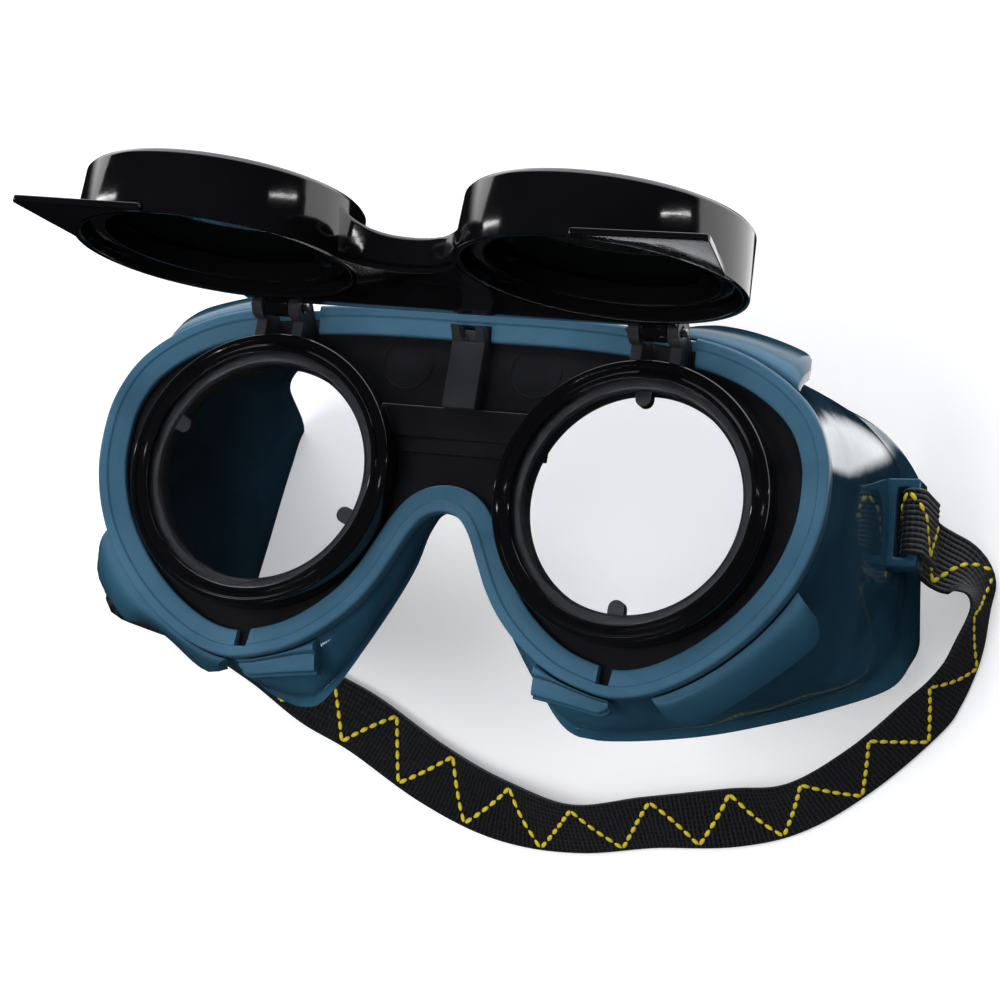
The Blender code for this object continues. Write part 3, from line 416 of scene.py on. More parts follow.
def strap_stations():
    """The strap's middle line and width direction, woven through the slider."""
    free = [lug_wrap(1)[-1]] + [(Vector(p), Vector(w)) for p, w in strap_route] + [lug_wrap(-1)[-1]]
    line = [(Vector(s[:3]), Vector(s[3:]).normalized())
            for s in spline([(*p, *w.normalized()) for p, w in free], route_steps)]
    nearest = min(range(1, len(line) - 1), key=lambda i: (line[i][0] - slider_place).length)
    place = line[nearest][0]
    along = (line[nearest + 1][0] - line[nearest - 1][0]).normalized()
    width = line[nearest][1]
    width = (width - along * width.dot(along)).normalized()
    normal = along.cross(width)
    lift = slider_thickness / 2 + strap_thickness / 2 + fit_gap * 1.5
    slot_end = slider_half_length - slider_end_bar
    slot_start = slider_middle_bar / 2 + fit_gap
    woven = []
    last = line[0][0]
    for centre, direction in line:
        if woven and (centre - last).length < strap_step:
            continue
        last = centre
        distance = (centre - place).length
        reach = (centre - place).dot(along)
        hold = 1 - smooth_between(distance, slider_half_length + strap_thickness,
                                  slider_half_length * 2 + strap_thickness)
        weave = lift * (2 * smooth_between(slot_end - abs(reach), 0, slot_end - slot_start) - 1)
        straight = place + along * reach + normal * weave
        woven.append((centre.lerp(straight, hold), direction.lerp(width, hold).normalized()))
    ends = [lug_wrap(1)[:-1], lug_wrap(-1)[::-1]]
    if (woven[-1][0] - ends[1][0][0]).length < strap_step / 2:
        woven.pop()
    return ends[0] + woven + ends[1], (place, along, width, normal)


def strap_frames(stations):
    """Centre, width, face direction and distance from the start for each station."""
    frames = []
    travelled = 0.0
    for i, (centre, width) in enumerate(stations):
        before = stations[max(i - 1, 0)][0]
        after = stations[min(i + 1, len(stations) - 1)][0]
        along = (after - before).normalized()
        width = (width - along * width.dot(along)).normalized()
        if i:
            travelled += (centre - before).length
        frames.append((centre, width, along.cross(width), travelled, along))
    return frames


def colour_ends(ramp, shades):
    """Gives a colour ramp its dark and its light end."""
    for element, shade in zip(ramp.color_ramp.elements, shades):
        element.color = colour(shade)


def webbing_material():
    # Knitted polyester over rubber threads: dull, with a fine crosswise rib that is bumped and whose bands
    # are also painted lighter as a painted highlight
    made, tree, shader = new_material("ribbed_elastic_webbing", {
        "Roughness": 0.62, "IOR": 1.5, "Sheen Weight": 0.10, "Sheen Roughness": 0.4})
    place = add_node(tree, "ShaderNodeUVMap", {"uv_map": "webbing"})
    weft = add_node(tree, "ShaderNodeTexWave", {"wave_type": "BANDS", "bands_direction": "X"},
                    {"Scale": wave_period / weft_spacing, "Distortion": 2.5, "Detail": 2.0,
                     "Detail Scale": 2.0}, {"Vector": place.outputs[0]})
    fuzz = add_node(tree, "ShaderNodeTexNoise", values={"Scale": 1 / fuzz_size, "Detail": 4.0},
                    links={"Vector": place.outputs[0]})
    shade = add_node(tree, "ShaderNodeValToRGB", links={"Fac": weft.outputs["Fac"]})
    colour_ends(shade, webbing_black_and_rib_highlight)
    shade.color_ramp.elements[0].position = 0.35
    worn = add_node(tree, "ShaderNodeMix", {"data_type": "RGBA", "blend_type": "MULTIPLY"}, {"Factor": 0.5},
                    {"A": shade.outputs["Color"], "B": fuzz.outputs["Fac"]})
    rough = add_node(tree, "ShaderNodeBump", values={"Strength": 0.20, "Distance": weft_relief},
                     links={"Height": weft.outputs["Fac"]})
    tree.links.new(worn.outputs["Result"], shader.inputs["Base Color"])
    tree.links.new(rough.outputs["Normal"], shader.inputs["Normal"])
    return made


def thread_material():
    # Spun polyester thread, dyed yellow: slightly shiny, with painted shade that darkens it between its
    # turns
    made, tree, shader = new_material("yellow_thread", {"Roughness": 0.5, "IOR": 1.5, "Sheen Weight": 0.2})
    place = add_node(tree, "ShaderNodeTexCoord")
    twist = add_node(tree, "ShaderNodeTexNoise", values={"Scale": 1 / thread_twist, "Detail": 2.0},
                     links={"Vector": place.outputs["Object"]})
    shade = add_node(tree, "ShaderNodeValToRGB", links={"Fac": twist.outputs["Fac"]})
    colour_ends(shade, thread_shades)
    tree.links.new(shade.outputs["Color"], shader.inputs["Base Color"])
    return made


def webbing_section():
    """The webbing's cross section: ribs on both faces, and thinner edges."""
    across = []
    steps = strap_ribs * rib_steps
    for step in range(steps + 1):
        share = step / steps
        rib = abs(math.sin(math.pi * share * strap_ribs)) ** rib_fullness
        past = max(abs(share - 0.5) * 2 - (1 - selvedge_share), 0) / selvedge_share
        half = (strap_thickness / 2 - rib_height * (1 - rib)) * (1 - past * selvedge_thinning)
        across.append(((share - 0.5) * strap_width, half))
    return across + [(u, -v) for u, v in across[::-1]]


def build_strap():
    stations, slider_frame = strap_stations()
    frames = strap_frames(stations)
    section = webbing_section()
    rows = [[centre + width * u + normal * v for u, v in section]
            for centre, width, normal, travelled, along in frames]
    bm = skin(rows)
    uv = bm.loops.layers.uv.new("webbing")
    bm.verts.index_update()
    count = len(section)
    for face in bm.faces:
        for loop in face.loops:
            row, place = divmod(loop.vert.index, count)
            loop[uv].uv = (frames[row][3], section[place][0])
    strap = new_piece("webbing_strap", bm, webbing_material(), "webbing", "mask", sharp=60)
    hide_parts("head_strap")
    stitches = build_stitches(frames)
    path = [station[0] + to_frame for station in frames]
    return strap, stitches, path, frames[-1][3], slider_frame


def build_stitches(frames):
    """The zigzag thread: short dashes that lie on both faces, leg after leg."""
    distances = [f[3] for f in frames]
    dash_pitch = stitch_pitch / 2 / stitches_per_leg
    reach = strap_width / 2 - stitch_margin
    around = [math.tau * i / stitch_sides for i in range(stitch_sides)]
    bm = bmesh.new()
    dash = math.ceil(-stitch_start / dash_pitch)
    while stitch_start + (dash + 1) * dash_pitch < distances[-1]:
        leg, share = divmod((dash + 0.5) / stitches_per_leg, 1)
        turn = 1 if leg % 2 else -1
        u = reach * (2 * share - 1) * turn
        slope = 2 * reach / (stitch_pitch / 2) * turn
        s = stitch_start + (dash + 0.5) * dash_pitch
        i = min(int(np.searchsorted(distances, s)), len(frames) - 1)
        centre, width, normal, travelled, along = frames[i]
        centre = centre + along * (s - travelled)
        direction = (along + width * slope).normalized()
        side = normal.cross(direction)
        for face in (1, -1):
            middle = centre + width * u + normal * face * (strap_thickness / 2)
            rows = []
            for step in range(stitch_steps + 1):
                t = step / stitch_steps * 2 - 1
                ring = middle + direction * t * stitch_half_length
                wide = stitch_half_width * math.sqrt(1 - t * t * stitch_taper)
                high = wide * stitch_flatness
                rows.append([ring + side * math.cos(a) * wide + normal * face * math.sin(a) * high
                             for a in around])
            add_skin(bm, rows)
        dash += 1
    return new_piece("zigzag_thread", bm, thread_material(), "webbing", "mask", sharp=80)


strap, stitches, strap_path, strap_length, slider_frame = build_strap()

# Strap slider. A flat frame of black moulded nylon with a middle bar, which the webbing passes
# under, over and under. Its edges are rounded and its face is slightly worn.
slider_round = 0.0030
slider_slot_round = 0.00072
slider_edge = 0.00045
corner_steps = 5
edge_segments = 3
edge_degrees = 40
handled_patch = 0.014


def rounded_polygon(corners, radius):
    """Rounds each corner of a polygon with a small arc, which starts the radius away from it."""
    made = []
    count = len(corners)
    for i in range(count):
        corner = Vector(corners[i])
        before = (Vector(corners[i - 1]) - corner).normalized() * radius
        after = (Vector(corners[(i + 1) % count]) - corner).normalized() * radius
        for step in range(corner_steps + 1):
            share = step / corner_steps
            made.append(tuple((corner + before * (1 - share)).lerp(corner + after * share, share)))
    return made


def prism(outline, low, high, placed=None):
    """A new bmesh of a flat outline, carried from the low to the high level."""
    bm = bmesh.new()
    add_prism(bm, outline, low, high, placed)
    return bm


def add_prism(bm, outline, low, high, placed=None):
    rows = [[Vector((x, y, z)) for x, y in outline] for z in (low, high)]
    if placed is not None:
        rows = [[placed @ point for point in row] for row in rows]
    add_skin(bm, rows)


def box_outline(x0, y0, x1, y1):
    return ((x0, y0), (x1, y0), (x1, y1), (x0, y1))


def cut_away(piece, bm, placed=None):
    """Cuts a shape out of a piece for good."""
    tool = new_piece("tool", bm, piece.data.materials[0], None, None, placed)
    step = piece.modifiers.new("cut", "BOOLEAN")
    step.operation = "DIFFERENCE"
    step.solver = "EXACT"
    step.object = tool
    bake_modifiers(piece)
    bpy.data.objects.remove(tool, do_unlink=True)


def bake_modifiers(piece):
    """Replaces a piece's mesh by what its modifiers make of it."""
    bpy.context.view_layer.update()
    graph = bpy.context.evaluated_depsgraph_get()
    mesh = bpy.data.meshes.new_from_object(piece.evaluated_get(graph))
    piece.modifiers.clear()
    piece.data = mesh
    mesh.shade_smooth()
    mesh.set_sharp_from_angle(angle=math.radians(sharp_degrees))


def round_edges(piece, radius, segments=edge_segments, limit=edge_degrees):
    """Rounds a piece's hard edges, as a mould's own radii do."""
    step = piece.modifiers.new("edges", "BEVEL")
    step.width = radius
    step.segments = segments
    step.limit_method = "ANGLE"
    step.angle_limit = math.radians(limit)
    step.use_clamp_overlap = True
    bake_modifiers(piece)


def moulded_black(name, shades, roughness, grain, relief):
    # Injection-moulded black plastic: glossy or satin, with a skin that waves a little and, where
    # it has been handled, fine dull patches
    made, tree, shader = new_material(name, {"IOR": 1.5})
    place = add_node(tree, "ShaderNodeTexCoord")
    patches = add_node(tree, "ShaderNodeTexNoise",
                       values={"Scale": 1 / handled_patch, "Detail": 5.0, "Roughness": 0.6},
                       links={"Vector": place.outputs["Object"]})
    spread = add_node(tree, "ShaderNodeMapRange", {}, {"From Min": 0.3, "From Max": 0.7,
                                                       "To Min": roughness[0], "To Max": roughness[1]},
                      {"Value": patches.outputs["Fac"]})
    shade = add_node(tree, "ShaderNodeValToRGB", links={"Fac": patches.outputs["Fac"]})
    colour_ends(shade, shades)
    peel = add_node(tree, "ShaderNodeTexNoise", values={"Scale": 1 / grain, "Detail": 2.0},
                    links={"Vector": place.outputs["Object"]})
    wave = add_node(tree, "ShaderNodeBump", values={"Strength": relief, "Distance": grain / 10},
                    links={"Height": peel.outputs["Fac"]})
    tree.links.new(shade.outputs["Color"], shader.inputs["Base Color"])
    tree.links.new(spread.outputs["Result"], shader.inputs["Roughness"])
    tree.links.new(wave.outputs["Normal"], shader.inputs["Normal"])
    return made


def build_slider():
    place, along, width, normal = slider_frame
    placed = Matrix.Translation(place) @ Matrix((along, width, normal)).transposed().to_4x4()
    corners = box_outline(-slider_half_length, -slider_half_width, slider_half_length, slider_half_width)
    plate = prism(rounded_polygon(corners, slider_round), -slider_thickness / 2, slider_thickness / 2)
    slider = new_piece("slider_frame", plate, nylon, "black_plastic", "mask", placed)
    low = slider_middle_bar / 2
    high = slider_half_length - slider_end_bar
    half = slider_half_width - slider_slot_margin
    slots = bmesh.new()
    for side in (1, -1):
        xs = sorted((side * low, side * high))
        slot = rounded_polygon(box_outline(xs[0], -half, xs[1], half), slider_slot_round)
        add_prism(slots, slot, -slider_thickness, slider_thickness)
    cut_away(slider, slots, placed)
    round_edges(slider, slider_edge)
    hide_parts("strap_slider")
    return slider


nylon = moulded_black("moulded_nylon", shades=("#0a0a0b", "#141416"), roughness=(0.28, 0.45),
                      grain=0.0016, relief=0.15)
slider = build_slider()

# Mask. One piece of soft, slightly see-through teal vinyl: a rim with a grooved lip that grips the
# front frame, a skirt that flares back to the face, and a lug for the strap at each temple.
rim_half_width = 0.0806
rim_top = 0.0378
rim_bottom = 0.0395
skirt_half_width = 0.0821
skirt_top = 0.0420
skirt_bottom = 0.0455
skirt_depth = 0.0900
skirt_wall = 0.0020
skirt_bulge = 0.0010
ring_steps = 7
station_steps = 4
# The skirt's first stations lie too close behind the rim's neck and are left out
first_station = 3
wall_soft = 0.0006
soft_steps = 3
soft_share = 0.45
rim_face_z = -0.0022
rim_band = 0.0021
rim_step = 0.0005
rim_back_z = -0.0052
lip_reach = 0.0059
lip_tilt = 0.0008
groove_depth = 0.0022
groove_back_z = -0.0083
ledge_reach = 0.0046
ledge_back_z = -0.0097
neck_inset = 0.0010
neck_length = 0.0015
rim_outline_shares = (
    (0.000, 1.000), (0.298, 0.996), (0.571, 0.950), (0.726, 0.877), (0.850, 0.743), (0.938, 0.570),
    (0.988, 0.345), (1.000, 0.107), (0.990, -0.101), (0.955, -0.316), (0.900, -0.506),
    (0.825, -0.684), (0.732, -0.841), (0.627, -0.957), (0.527, -1.000), (0.434, -0.967),
    (0.347, -0.899), (0.267, -0.790), (0.199, -0.658), (0.149, -0.514), (0.112, -0.367),
    (0.079, -0.235), (0.045, -0.152), (0.000, -0.124),
)
skirt_outline_shares = (
    (0.000, 1.000, 0.44), (0.268, 1.000, 0.47), (0.536, 0.976, 0.50), (0.700, 0.924, 0.56),
    (0.865, 0.852, 0.76), (0.927, 0.710, 1.00), (0.948, 0.493, 1.00), (0.963, 0.279, 1.00),
    (0.976, 0.064, 1.00), (0.991, -0.149, 1.00), (1.000, -0.290, 0.91), (0.976, -0.453, 0.82),
    (0.857, -0.620, 0.70), (0.722, -0.771, 0.57), (0.611, -0.886, 0.44), (0.470, -0.976, 0.32),
    (0.365, -1.000, 0.25), (0.297, -0.912, 0.22), (0.232, -0.725, 0.21), (0.159, -0.484, 0.20),
    (0.119, -0.308, 0.20), (0.096, -0.143, 0.20), (0.058, -0.022, 0.20), (0.000, 0.022, 0.20),
)
skirt_station_shares = ((0.00, 0.0), (0.22, 0.8), (0.50, 1.0), (0.74, 0.4), (0.88, -1.0), (1.00, 0.0))
hinge_x = 0.0419
hinge_y = 0.0350
hinge_z = 0.0026
hinge_notch_half_width = 0.00695
hinge_notch_foot_y = 0.0284
hinge_notch_floor_z = -0.0056
hinge_notch_overrun = 1.2
post_notch_half_width = 0.00405
split_x = 0.0400
split_half_width = 0.0014
split_corner = 0.0002
split_overrun = 1.4
polished_below_z = to_frame.z - 0.0075
blasted_above_z = to_frame.z - 0.0055
polished_roughness = 0.05
blasted_roughness = 0.28
# Size of the broad patches of lighter teal: random tone, and partly a painted sheen
vinyl_mottle_size = 0.030
vinyl_speckle = 0.00050
vinyl_waviness = 0.0060
# Teal, and the lighter teal of those patches, which is partly a painted sheen
vinyl_teal_and_sheen = ("#26495d", "#386379")
# Paler teal on the satin rim: partly its frosted finish, partly a painted sheen
vinyl_frost_and_sheen = "#4c7086"


def mask_rings(steps):
    """Rim and skirt points round the mask, and the direction from the rim into the opening."""
    half = []
    for rim, skirt in zip(rim_outline_shares, skirt_outline_shares):
        rim_y = rim[1] * (rim_top if rim[1] > 0 else rim_bottom)
        skirt_y = skirt[1] * (skirt_top if skirt[1] > 0 else skirt_bottom)
        half.append((rim[0] * rim_half_width, rim_y,
                     skirt[0] * skirt_half_width, skirt_y, -skirt[2] * skirt_depth))
    mirrored = [(-a, b, -c, d, e) for a, b, c, d, e in half[-2:0:-1]]
    ring = spline(half + mirrored, steps, True)
    count = len(ring)
    rim = [Vector((p[0], p[1], 0)) for p in ring]
    skirt = [Vector((p[2], max(p[3], -skirt_bottom), max(p[4], -skirt_depth))) for p in ring]
    inward = []
    for i in range(count):
        along = (rim[(i + 1) % count] - rim[i - 1]).normalized()
        inward.append(Vector((along.y, -along.x, 0)))
    return rim, skirt, inward


def soften(row, radii, steps=soft_steps):
    """Rounds the corners of a closed row of points, each by its own radius."""
    made = []
    for i, (point, radius) in enumerate(zip(row, radii)):
        before = row[i - 1] - point
        after = row[(i + 1) % len(row)] - point
        if radius == 0:
            made.append(point)
            continue
        start = point + before.normalized() * min(radius, before.length * soft_share)
        end = point + after.normalized() * min(radius, after.length * soft_share)
        for step in range(steps + 1):
            share = step / steps
            made.append(start.lerp(point, share).lerp(point.lerp(end, share), share))
    return made


def rim_section():
    """Depth into the opening, height and corner radius of the rim, its lip, groove and ledge."""
    lip_z = rim_face_z - rim_step - lip_tilt
    return (
        (neck_inset, rim_back_z - neck_length, 0.0006),
        (0, rim_back_z, 0.0004),
        (0, rim_face_z, 0.0008),
        (rim_band, rim_face_z, 0.0004),
        (rim_band + rim_step / 2, rim_face_z - rim_step, 0.00025),
        (lip_reach, lip_z, 0.0005),
        (lip_reach, rim_back_z, 0.0003),
        (groove_depth, rim_back_z, 0.0002),
        (groove_depth, groove_back_z, 0.0002),
        (ledge_reach, groove_back_z, 0.0003),
        (ledge_reach, ledge_back_z, 0.0003),
        (neck_inset + skirt_wall, ledge_back_z - neck_length / 2, 0.0006),
    )


def skirt_walls(rim, skirt, inward):
    """Outer and inner points of the skirt's wall for each place round the mask."""
    count = len(rim)
    necks = [rim[i] + inward[i] * neck_inset + Vector((0, 0, rim_back_z - neck_length))
             for i in range(count)]
    outer = [[] for place in rim]
    inner = [[] for place in rim]
    for share, bulge in spline(skirt_station_shares, station_steps)[first_station:]:
        bare = [necks[i].lerp(skirt[i], share) for i in range(count)]
        for i in range(count):
            around = bare[(i + 1) % count] - bare[i - 1]
            normal = around.cross(skirt[i] - necks[i]).normalized()
            flat = Vector((normal.x, normal.y, 0)).normalized()
            outer[i].append(bare[i] + normal * bulge * skirt_bulge)
            inner[i].append(outer[i][-1] - (flat if share == 1 else normal) * skirt_wall)
    return outer, inner


def vinyl_material():
    # Plasticised PVC from a mould that was polished for the skirt and fine-blasted for the rim: the
    # skirt shines wet, the rim is satin with a fine speckle, and thin edges let some light through
    made, tree, shader = new_material("teal_vinyl", {
        "IOR": 1.53, "Subsurface Weight": 0.35, "Subsurface Radius": (0.0008, 0.0020, 0.0030),
        "Subsurface Scale": 1.0, "Specular Tint": colour("#b4daf4")})
    place = add_node(tree, "ShaderNodeTexCoord")
    parts = add_node(tree, "ShaderNodeSeparateXYZ", links={0: place.outputs["Object"]})
    blasted = add_node(tree, "ShaderNodeMapRange", {"interpolation_type": "SMOOTHSTEP"},
                       {"From Min": polished_below_z, "From Max": blasted_above_z},
                       {"Value": parts.outputs["Z"]})
    # Broad patches of lighter teal: random tone in the vinyl, and partly a painted sheen
    tone_and_sheen_mottle = add_node(tree, "ShaderNodeTexNoise",
                    values={"Scale": 1 / vinyl_mottle_size, "Detail": 4.0, "Distortion": 0.6},
                    links={"Vector": place.outputs["Object"]})
    shade = add_node(tree, "ShaderNodeValToRGB", links={"Fac": tone_and_sheen_mottle.outputs["Fac"]})
    colour_ends(shade, vinyl_teal_and_sheen)
    shade.color_ramp.elements[0].position = 0.30
    shade.color_ramp.elements[1].position = 0.72
    gloss = add_node(tree, "ShaderNodeMapRange",
                     values={"To Min": polished_roughness, "To Max": blasted_roughness},
                     links={"Value": blasted.outputs["Result"]})
    worn = add_node(tree, "ShaderNodeMath", {"operation": "MULTIPLY_ADD"}, {1: 0.06},
                    {0: tone_and_sheen_mottle.outputs["Fac"], 2: gloss.outputs["Result"]})
    speck = add_node(tree, "ShaderNodeTexNoise", values={"Scale": 1 / vinyl_speckle, "Detail": 2.0},
                     links={"Vector": place.outputs["Object"]})
    relief = add_node(tree, "ShaderNodeMath", {"operation": "MULTIPLY"},
                      links={0: speck.outputs["Fac"], 1: blasted.outputs["Result"]})
    grain = add_node(tree, "ShaderNodeBump", values={"Strength": 0.22, "Distance": vinyl_speckle / 5},
                     links={"Height": relief.outputs[0]})
    peel = add_node(tree, "ShaderNodeTexNoise", values={"Scale": 1 / vinyl_waviness, "Detail": 1.0},
                    links={"Vector": place.outputs["Object"]})
    wave = add_node(tree, "ShaderNodeBump", values={"Strength": 0.10, "Distance": vinyl_waviness / 12},
                    links={"Height": peel.outputs["Fac"], "Normal": grain.outputs["Normal"]})
    # The satin rim painted paler where the patches are light: partly the frosted finish, partly a painted
    # sheen
    frost_and_sheen = add_node(tree, "ShaderNodeMath", {"operation": "MULTIPLY"},
                     links={0: tone_and_sheen_mottle.outputs["Fac"], 1: blasted.outputs["Result"]})
    paler = add_node(tree, "ShaderNodeMix", {"data_type": "RGBA"}, {"B": colour(vinyl_frost_and_sheen)},
                     {"Factor": frost_and_sheen.outputs[0], "A": shade.outputs["Color"]})
    tree.links.new(paler.outputs["Result"], shader.inputs["Base Color"])
    tree.links.new(worn.outputs[0], shader.inputs["Roughness"])
    tree.links.new(wave.outputs["Normal"], shader.inputs["Normal"])
    return made


def build_mask():
    rim, skirt, inward = mask_rings(ring_steps)
    outer, inner = skirt_walls(rim, skirt, inward)
    section = rim_section()
    stations = len(outer[0])
    radii = [part[2] for part in section] + [0] * (stations - 1) + [wall_soft] * 2 + [0] * (stations - 1)
    rows = []
    for i in range(len(rim)):
        row = [rim[i] + inward[i] * depth + Vector((0, 0, z)) for depth, z, radius in section]
        row += inner[i][:-1] + [inner[i][-1], outer[i][-1]] + outer[i][-2::-1]
        rows.append(soften(row, radii))
    mask = new_piece("vinyl_mask", skin(rows, close_rows=True), vinyl, "soft_pvc", "mask")
    notches = bmesh.new()
    low_z = rim_back_z - fit_gap
    high_z = -rim_face_z
    split_foot_y = -rim_bottom + rim_band + fit_gap
    split_top_y = -rim_bottom + lip_reach * split_overrun
    for side in (1, -1):
        middle = side * hinge_x
        notch = box_outline(middle - hinge_notch_half_width, hinge_notch_foot_y,
                            middle + hinge_notch_half_width, rim_top * hinge_notch_overrun)
        add_prism(notches, notch, hinge_notch_floor_z, high_z)
        middle = side * split_x
        split = ((middle - split_half_width, split_foot_y), (middle + split_half_width, split_foot_y),
                 (middle + split_half_width + split_corner, split_top_y),
                 (middle - split_half_width - split_corner, split_top_y))
        add_prism(notches, split, low_z, high_z)
    post = box_outline(-post_notch_half_width, hinge_notch_foot_y, post_notch_half_width, hinge_y)
    add_prism(notches, post, low_z, high_z)
    cut_away(mask, notches)
    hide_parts("mask_body")


vinyl = vinyl_material()
build_mask()

# Strap lugs. Moulded in one with the mask's wall at each temple: two short arms and a bar between
# them, with rounded edges.
sides = ((1, "right"), (-1, "left"))
lug_slot_height = 0.0152
lug_end_wall = 0.0020
lug_root = 0.0012
lug_corner = 0.0009
lug_slot_corner = 0.0006
lug_round = 0.0004


def build_lug(side, label):
    slot_end = lug_slot_start + lug_slot
    reach = slot_end + lug_bar
    half = lug_slot_height / 2
    corners = box_outline(-lug_root, -half - lug_end_wall, reach, half + lug_end_wall)
    block = prism(rounded_polygon(corners, lug_corner), -lug_bar_depth / 2, lug_bar_depth / 2)
    lug = new_piece("strap_lug_" + label, block, vinyl, "soft_pvc", "mask", lug_matrix(side))
    slot = rounded_polygon(box_outline(lug_slot_start, -half, slot_end, half), lug_slot_corner)
    cut_away(lug, prism(slot, -lug_bar_depth, lug_bar_depth), lug_matrix(side))
    round_edges(lug, lug_round)
    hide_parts("mask_body")


for side, label in sides:
    build_lug(side, label)

# Vent hoods. Six small covers of the same vinyl, a little stiffer, pushed on behind the rim: curved
# cowls over the upper and lower corners, and stepped blocks on both sides of the nose.
hood_root_z = -0.0055
hood_thickness = 0.0020
hood_drop = 0.0105
hood_end_cut = 0.38
hood_end_power = 14
hood_edge = 0.0005
hood_edge_segments = 4
hood_edge_degrees = 55
hood_stations = 24
hood_courses = 10
hood_ring_steps = 12
# Name of the CAD piece, side, span along the rim's outline, outer corners as shares of the rim's
# half width, its height and the drop, what the outer edge is moved out, and how far it bows
hoods = (
    ("vent_hood_top_right", 1, (1.75, 4.20),
     ((0.570, 1.103, 0.81), (0.885, 0.950, 0.81)), 0.0, 0.0014),
    ("vent_hood_top_left", -1, (1.75, 4.20),
     ((0.570, 1.103, 0.81), (0.869, 0.955, 0.81)), 0.0006, 0.0012),
    ("vent_hood_bottom_right", 1, (9.20, 13.10),
     ((1.012, -0.509, 0.73), (0.660, -1.085, 0.95)), 0.0006, 0.0014),
    ("vent_hood_bottom_left", -1, (9.20, 13.80),
     ((1.012, -0.509, 0.73), (0.600, -1.060, 0.95)), 0.0021, 0.0040),
)
nose_hood_span = (16.50, 14.20)
# Outer edge, and the share of the way out where the raised lip ends
nose_hood_edge = ((0.0240, -0.0400, 0.42), (0.0289, -0.0407, 0.22), (0.0339, -0.0415, 0.14),
                  (0.0385, -0.0422, 0.14), (0.0408, -0.0411, 0.20))
nose_hood_steps = 6
nose_hood_sharp = 50
# Shares of the lip and of the whole way out, what is added to them, height and corner radius
nose_hood_profile = (
    (0, 0, 0, -0.0100, 0), (0, 0, 0, -0.0052, 0.0003),
    (0.35, 0, 0, -0.0042, 0.0004), (0.85, 0, 0, -0.0044, 0.0004),
    (1, 0, 0, -0.0059, 0.0001), (1, 0, 0.0003, -0.0054, 0.0002),
    (0, 1, 0, -0.0063, 0.0005), (0, 1, 0.0001, -0.0073, 0.0002),
    (0, 1, -0.0003, -0.0077, 0.0001), (0, 1, 0.0006, -0.0080, 0.0002),
    (0, 1, 0.0006, -0.0088, 0.0002), (0, 1, 0, -0.0091, 0.0001),
    (0, 1, 0.0004, -0.0093, 0.0001), (0, 1, 0.0003, -0.0100, 0),
)


def rim_points(span, stations):
    """Points just outside the rim, between two places along its outline."""
    rim, skirt, inward = mask_rings(hood_ring_steps)
    made = []
    for step in range(stations + 1):
        index = (span[0] + (span[1] - span[0]) * step / stations) * hood_ring_steps
        low = int(index)
        out = -inward[low].lerp(inward[low + 1], index - low).normalized()
        made.append(rim[low].lerp(rim[low + 1], index - low) + out * fit_gap)
    return made


def hood_corner(shares):
    height = rim_top if shares[1] > 0 else rim_bottom
    return Vector((shares[0] * rim_half_width, shares[1] * height, hood_root_z - shares[2] * hood_drop))


def build_hood(name, side, span, corner_shares, spread, bow):
    """A cowl that is level beside the rim and falls back in a curve to its outer edge."""
    first, last = (hood_corner(shares) for shares in corner_shares)
    rows = []
    for step, near in enumerate(rim_points(span, hood_stations)):
        share = step / hood_stations
        edge = first.lerp(last, share)
        rounding = 1 - hood_end_cut * abs(2 * share - 1) ** hood_end_power
        out = Vector((edge.x - near.x, edge.y - near.y, 0))
        out *= (1 + (spread + bow * 4 * share * (1 - share)) / out.length) * rounding
        fall = (hood_root_z - edge.z) * rounding
        outer = []
        inner = []
        for course in range(hood_courses + 1):
            along = course / hood_courses
            outer.append(near + out * along + Vector((0, 0, hood_root_z - fall * along ** 2)))
            back = out.normalized() * (-2 * fall * along) - Vector((0, 0, out.length))
            inner.append(outer[-1] + back.normalized() * hood_thickness)
        rows.append([Vector((side * p.x, p.y, p.z)) for p in outer + inner[::-1]])
    hood = new_piece(name, skin(rows), vinyl, "soft_pvc", "mask")
    round_edges(hood, hood_edge, hood_edge_segments, hood_edge_degrees)
    return hood


def build_nose_hood(name, side):
    """A satin face with a raised lip along the rim and two thin steps below its outer edge."""
    rows = []
    shape = spline(nose_hood_edge, nose_hood_steps)
    for start, (x, y, share) in zip(rim_points(nose_hood_span, len(shape) - 1), shape):
        out = Vector((x - start.x, y - start.y, 0))
        reach = out.length
        out /= reach
        lip = share * reach
        line = [start + out * (lip * of_lip + reach * of_reach + more) + Vector((0, 0, z))
                for of_lip, of_reach, more, z, radius in nose_hood_profile]
        row = soften(line, [part[4] for part in nose_hood_profile])
        rows.append([Vector((side * p.x, p.y, p.z)) for p in row])
    return new_piece(name, skin(rows), vinyl, "soft_pvc", "mask", sharp=nose_hood_sharp)


for node, side, span, corner_shares, spread, bow in hoods:
    hood = build_hood(node.replace("vent_hood", "cowl"), side, span, corner_shares, spread, bow)
    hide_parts(node)
for side, label in sides:
    hood = build_nose_hood("nose_cowl_" + label, side)
    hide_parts("nose_vent_hood_" + label)

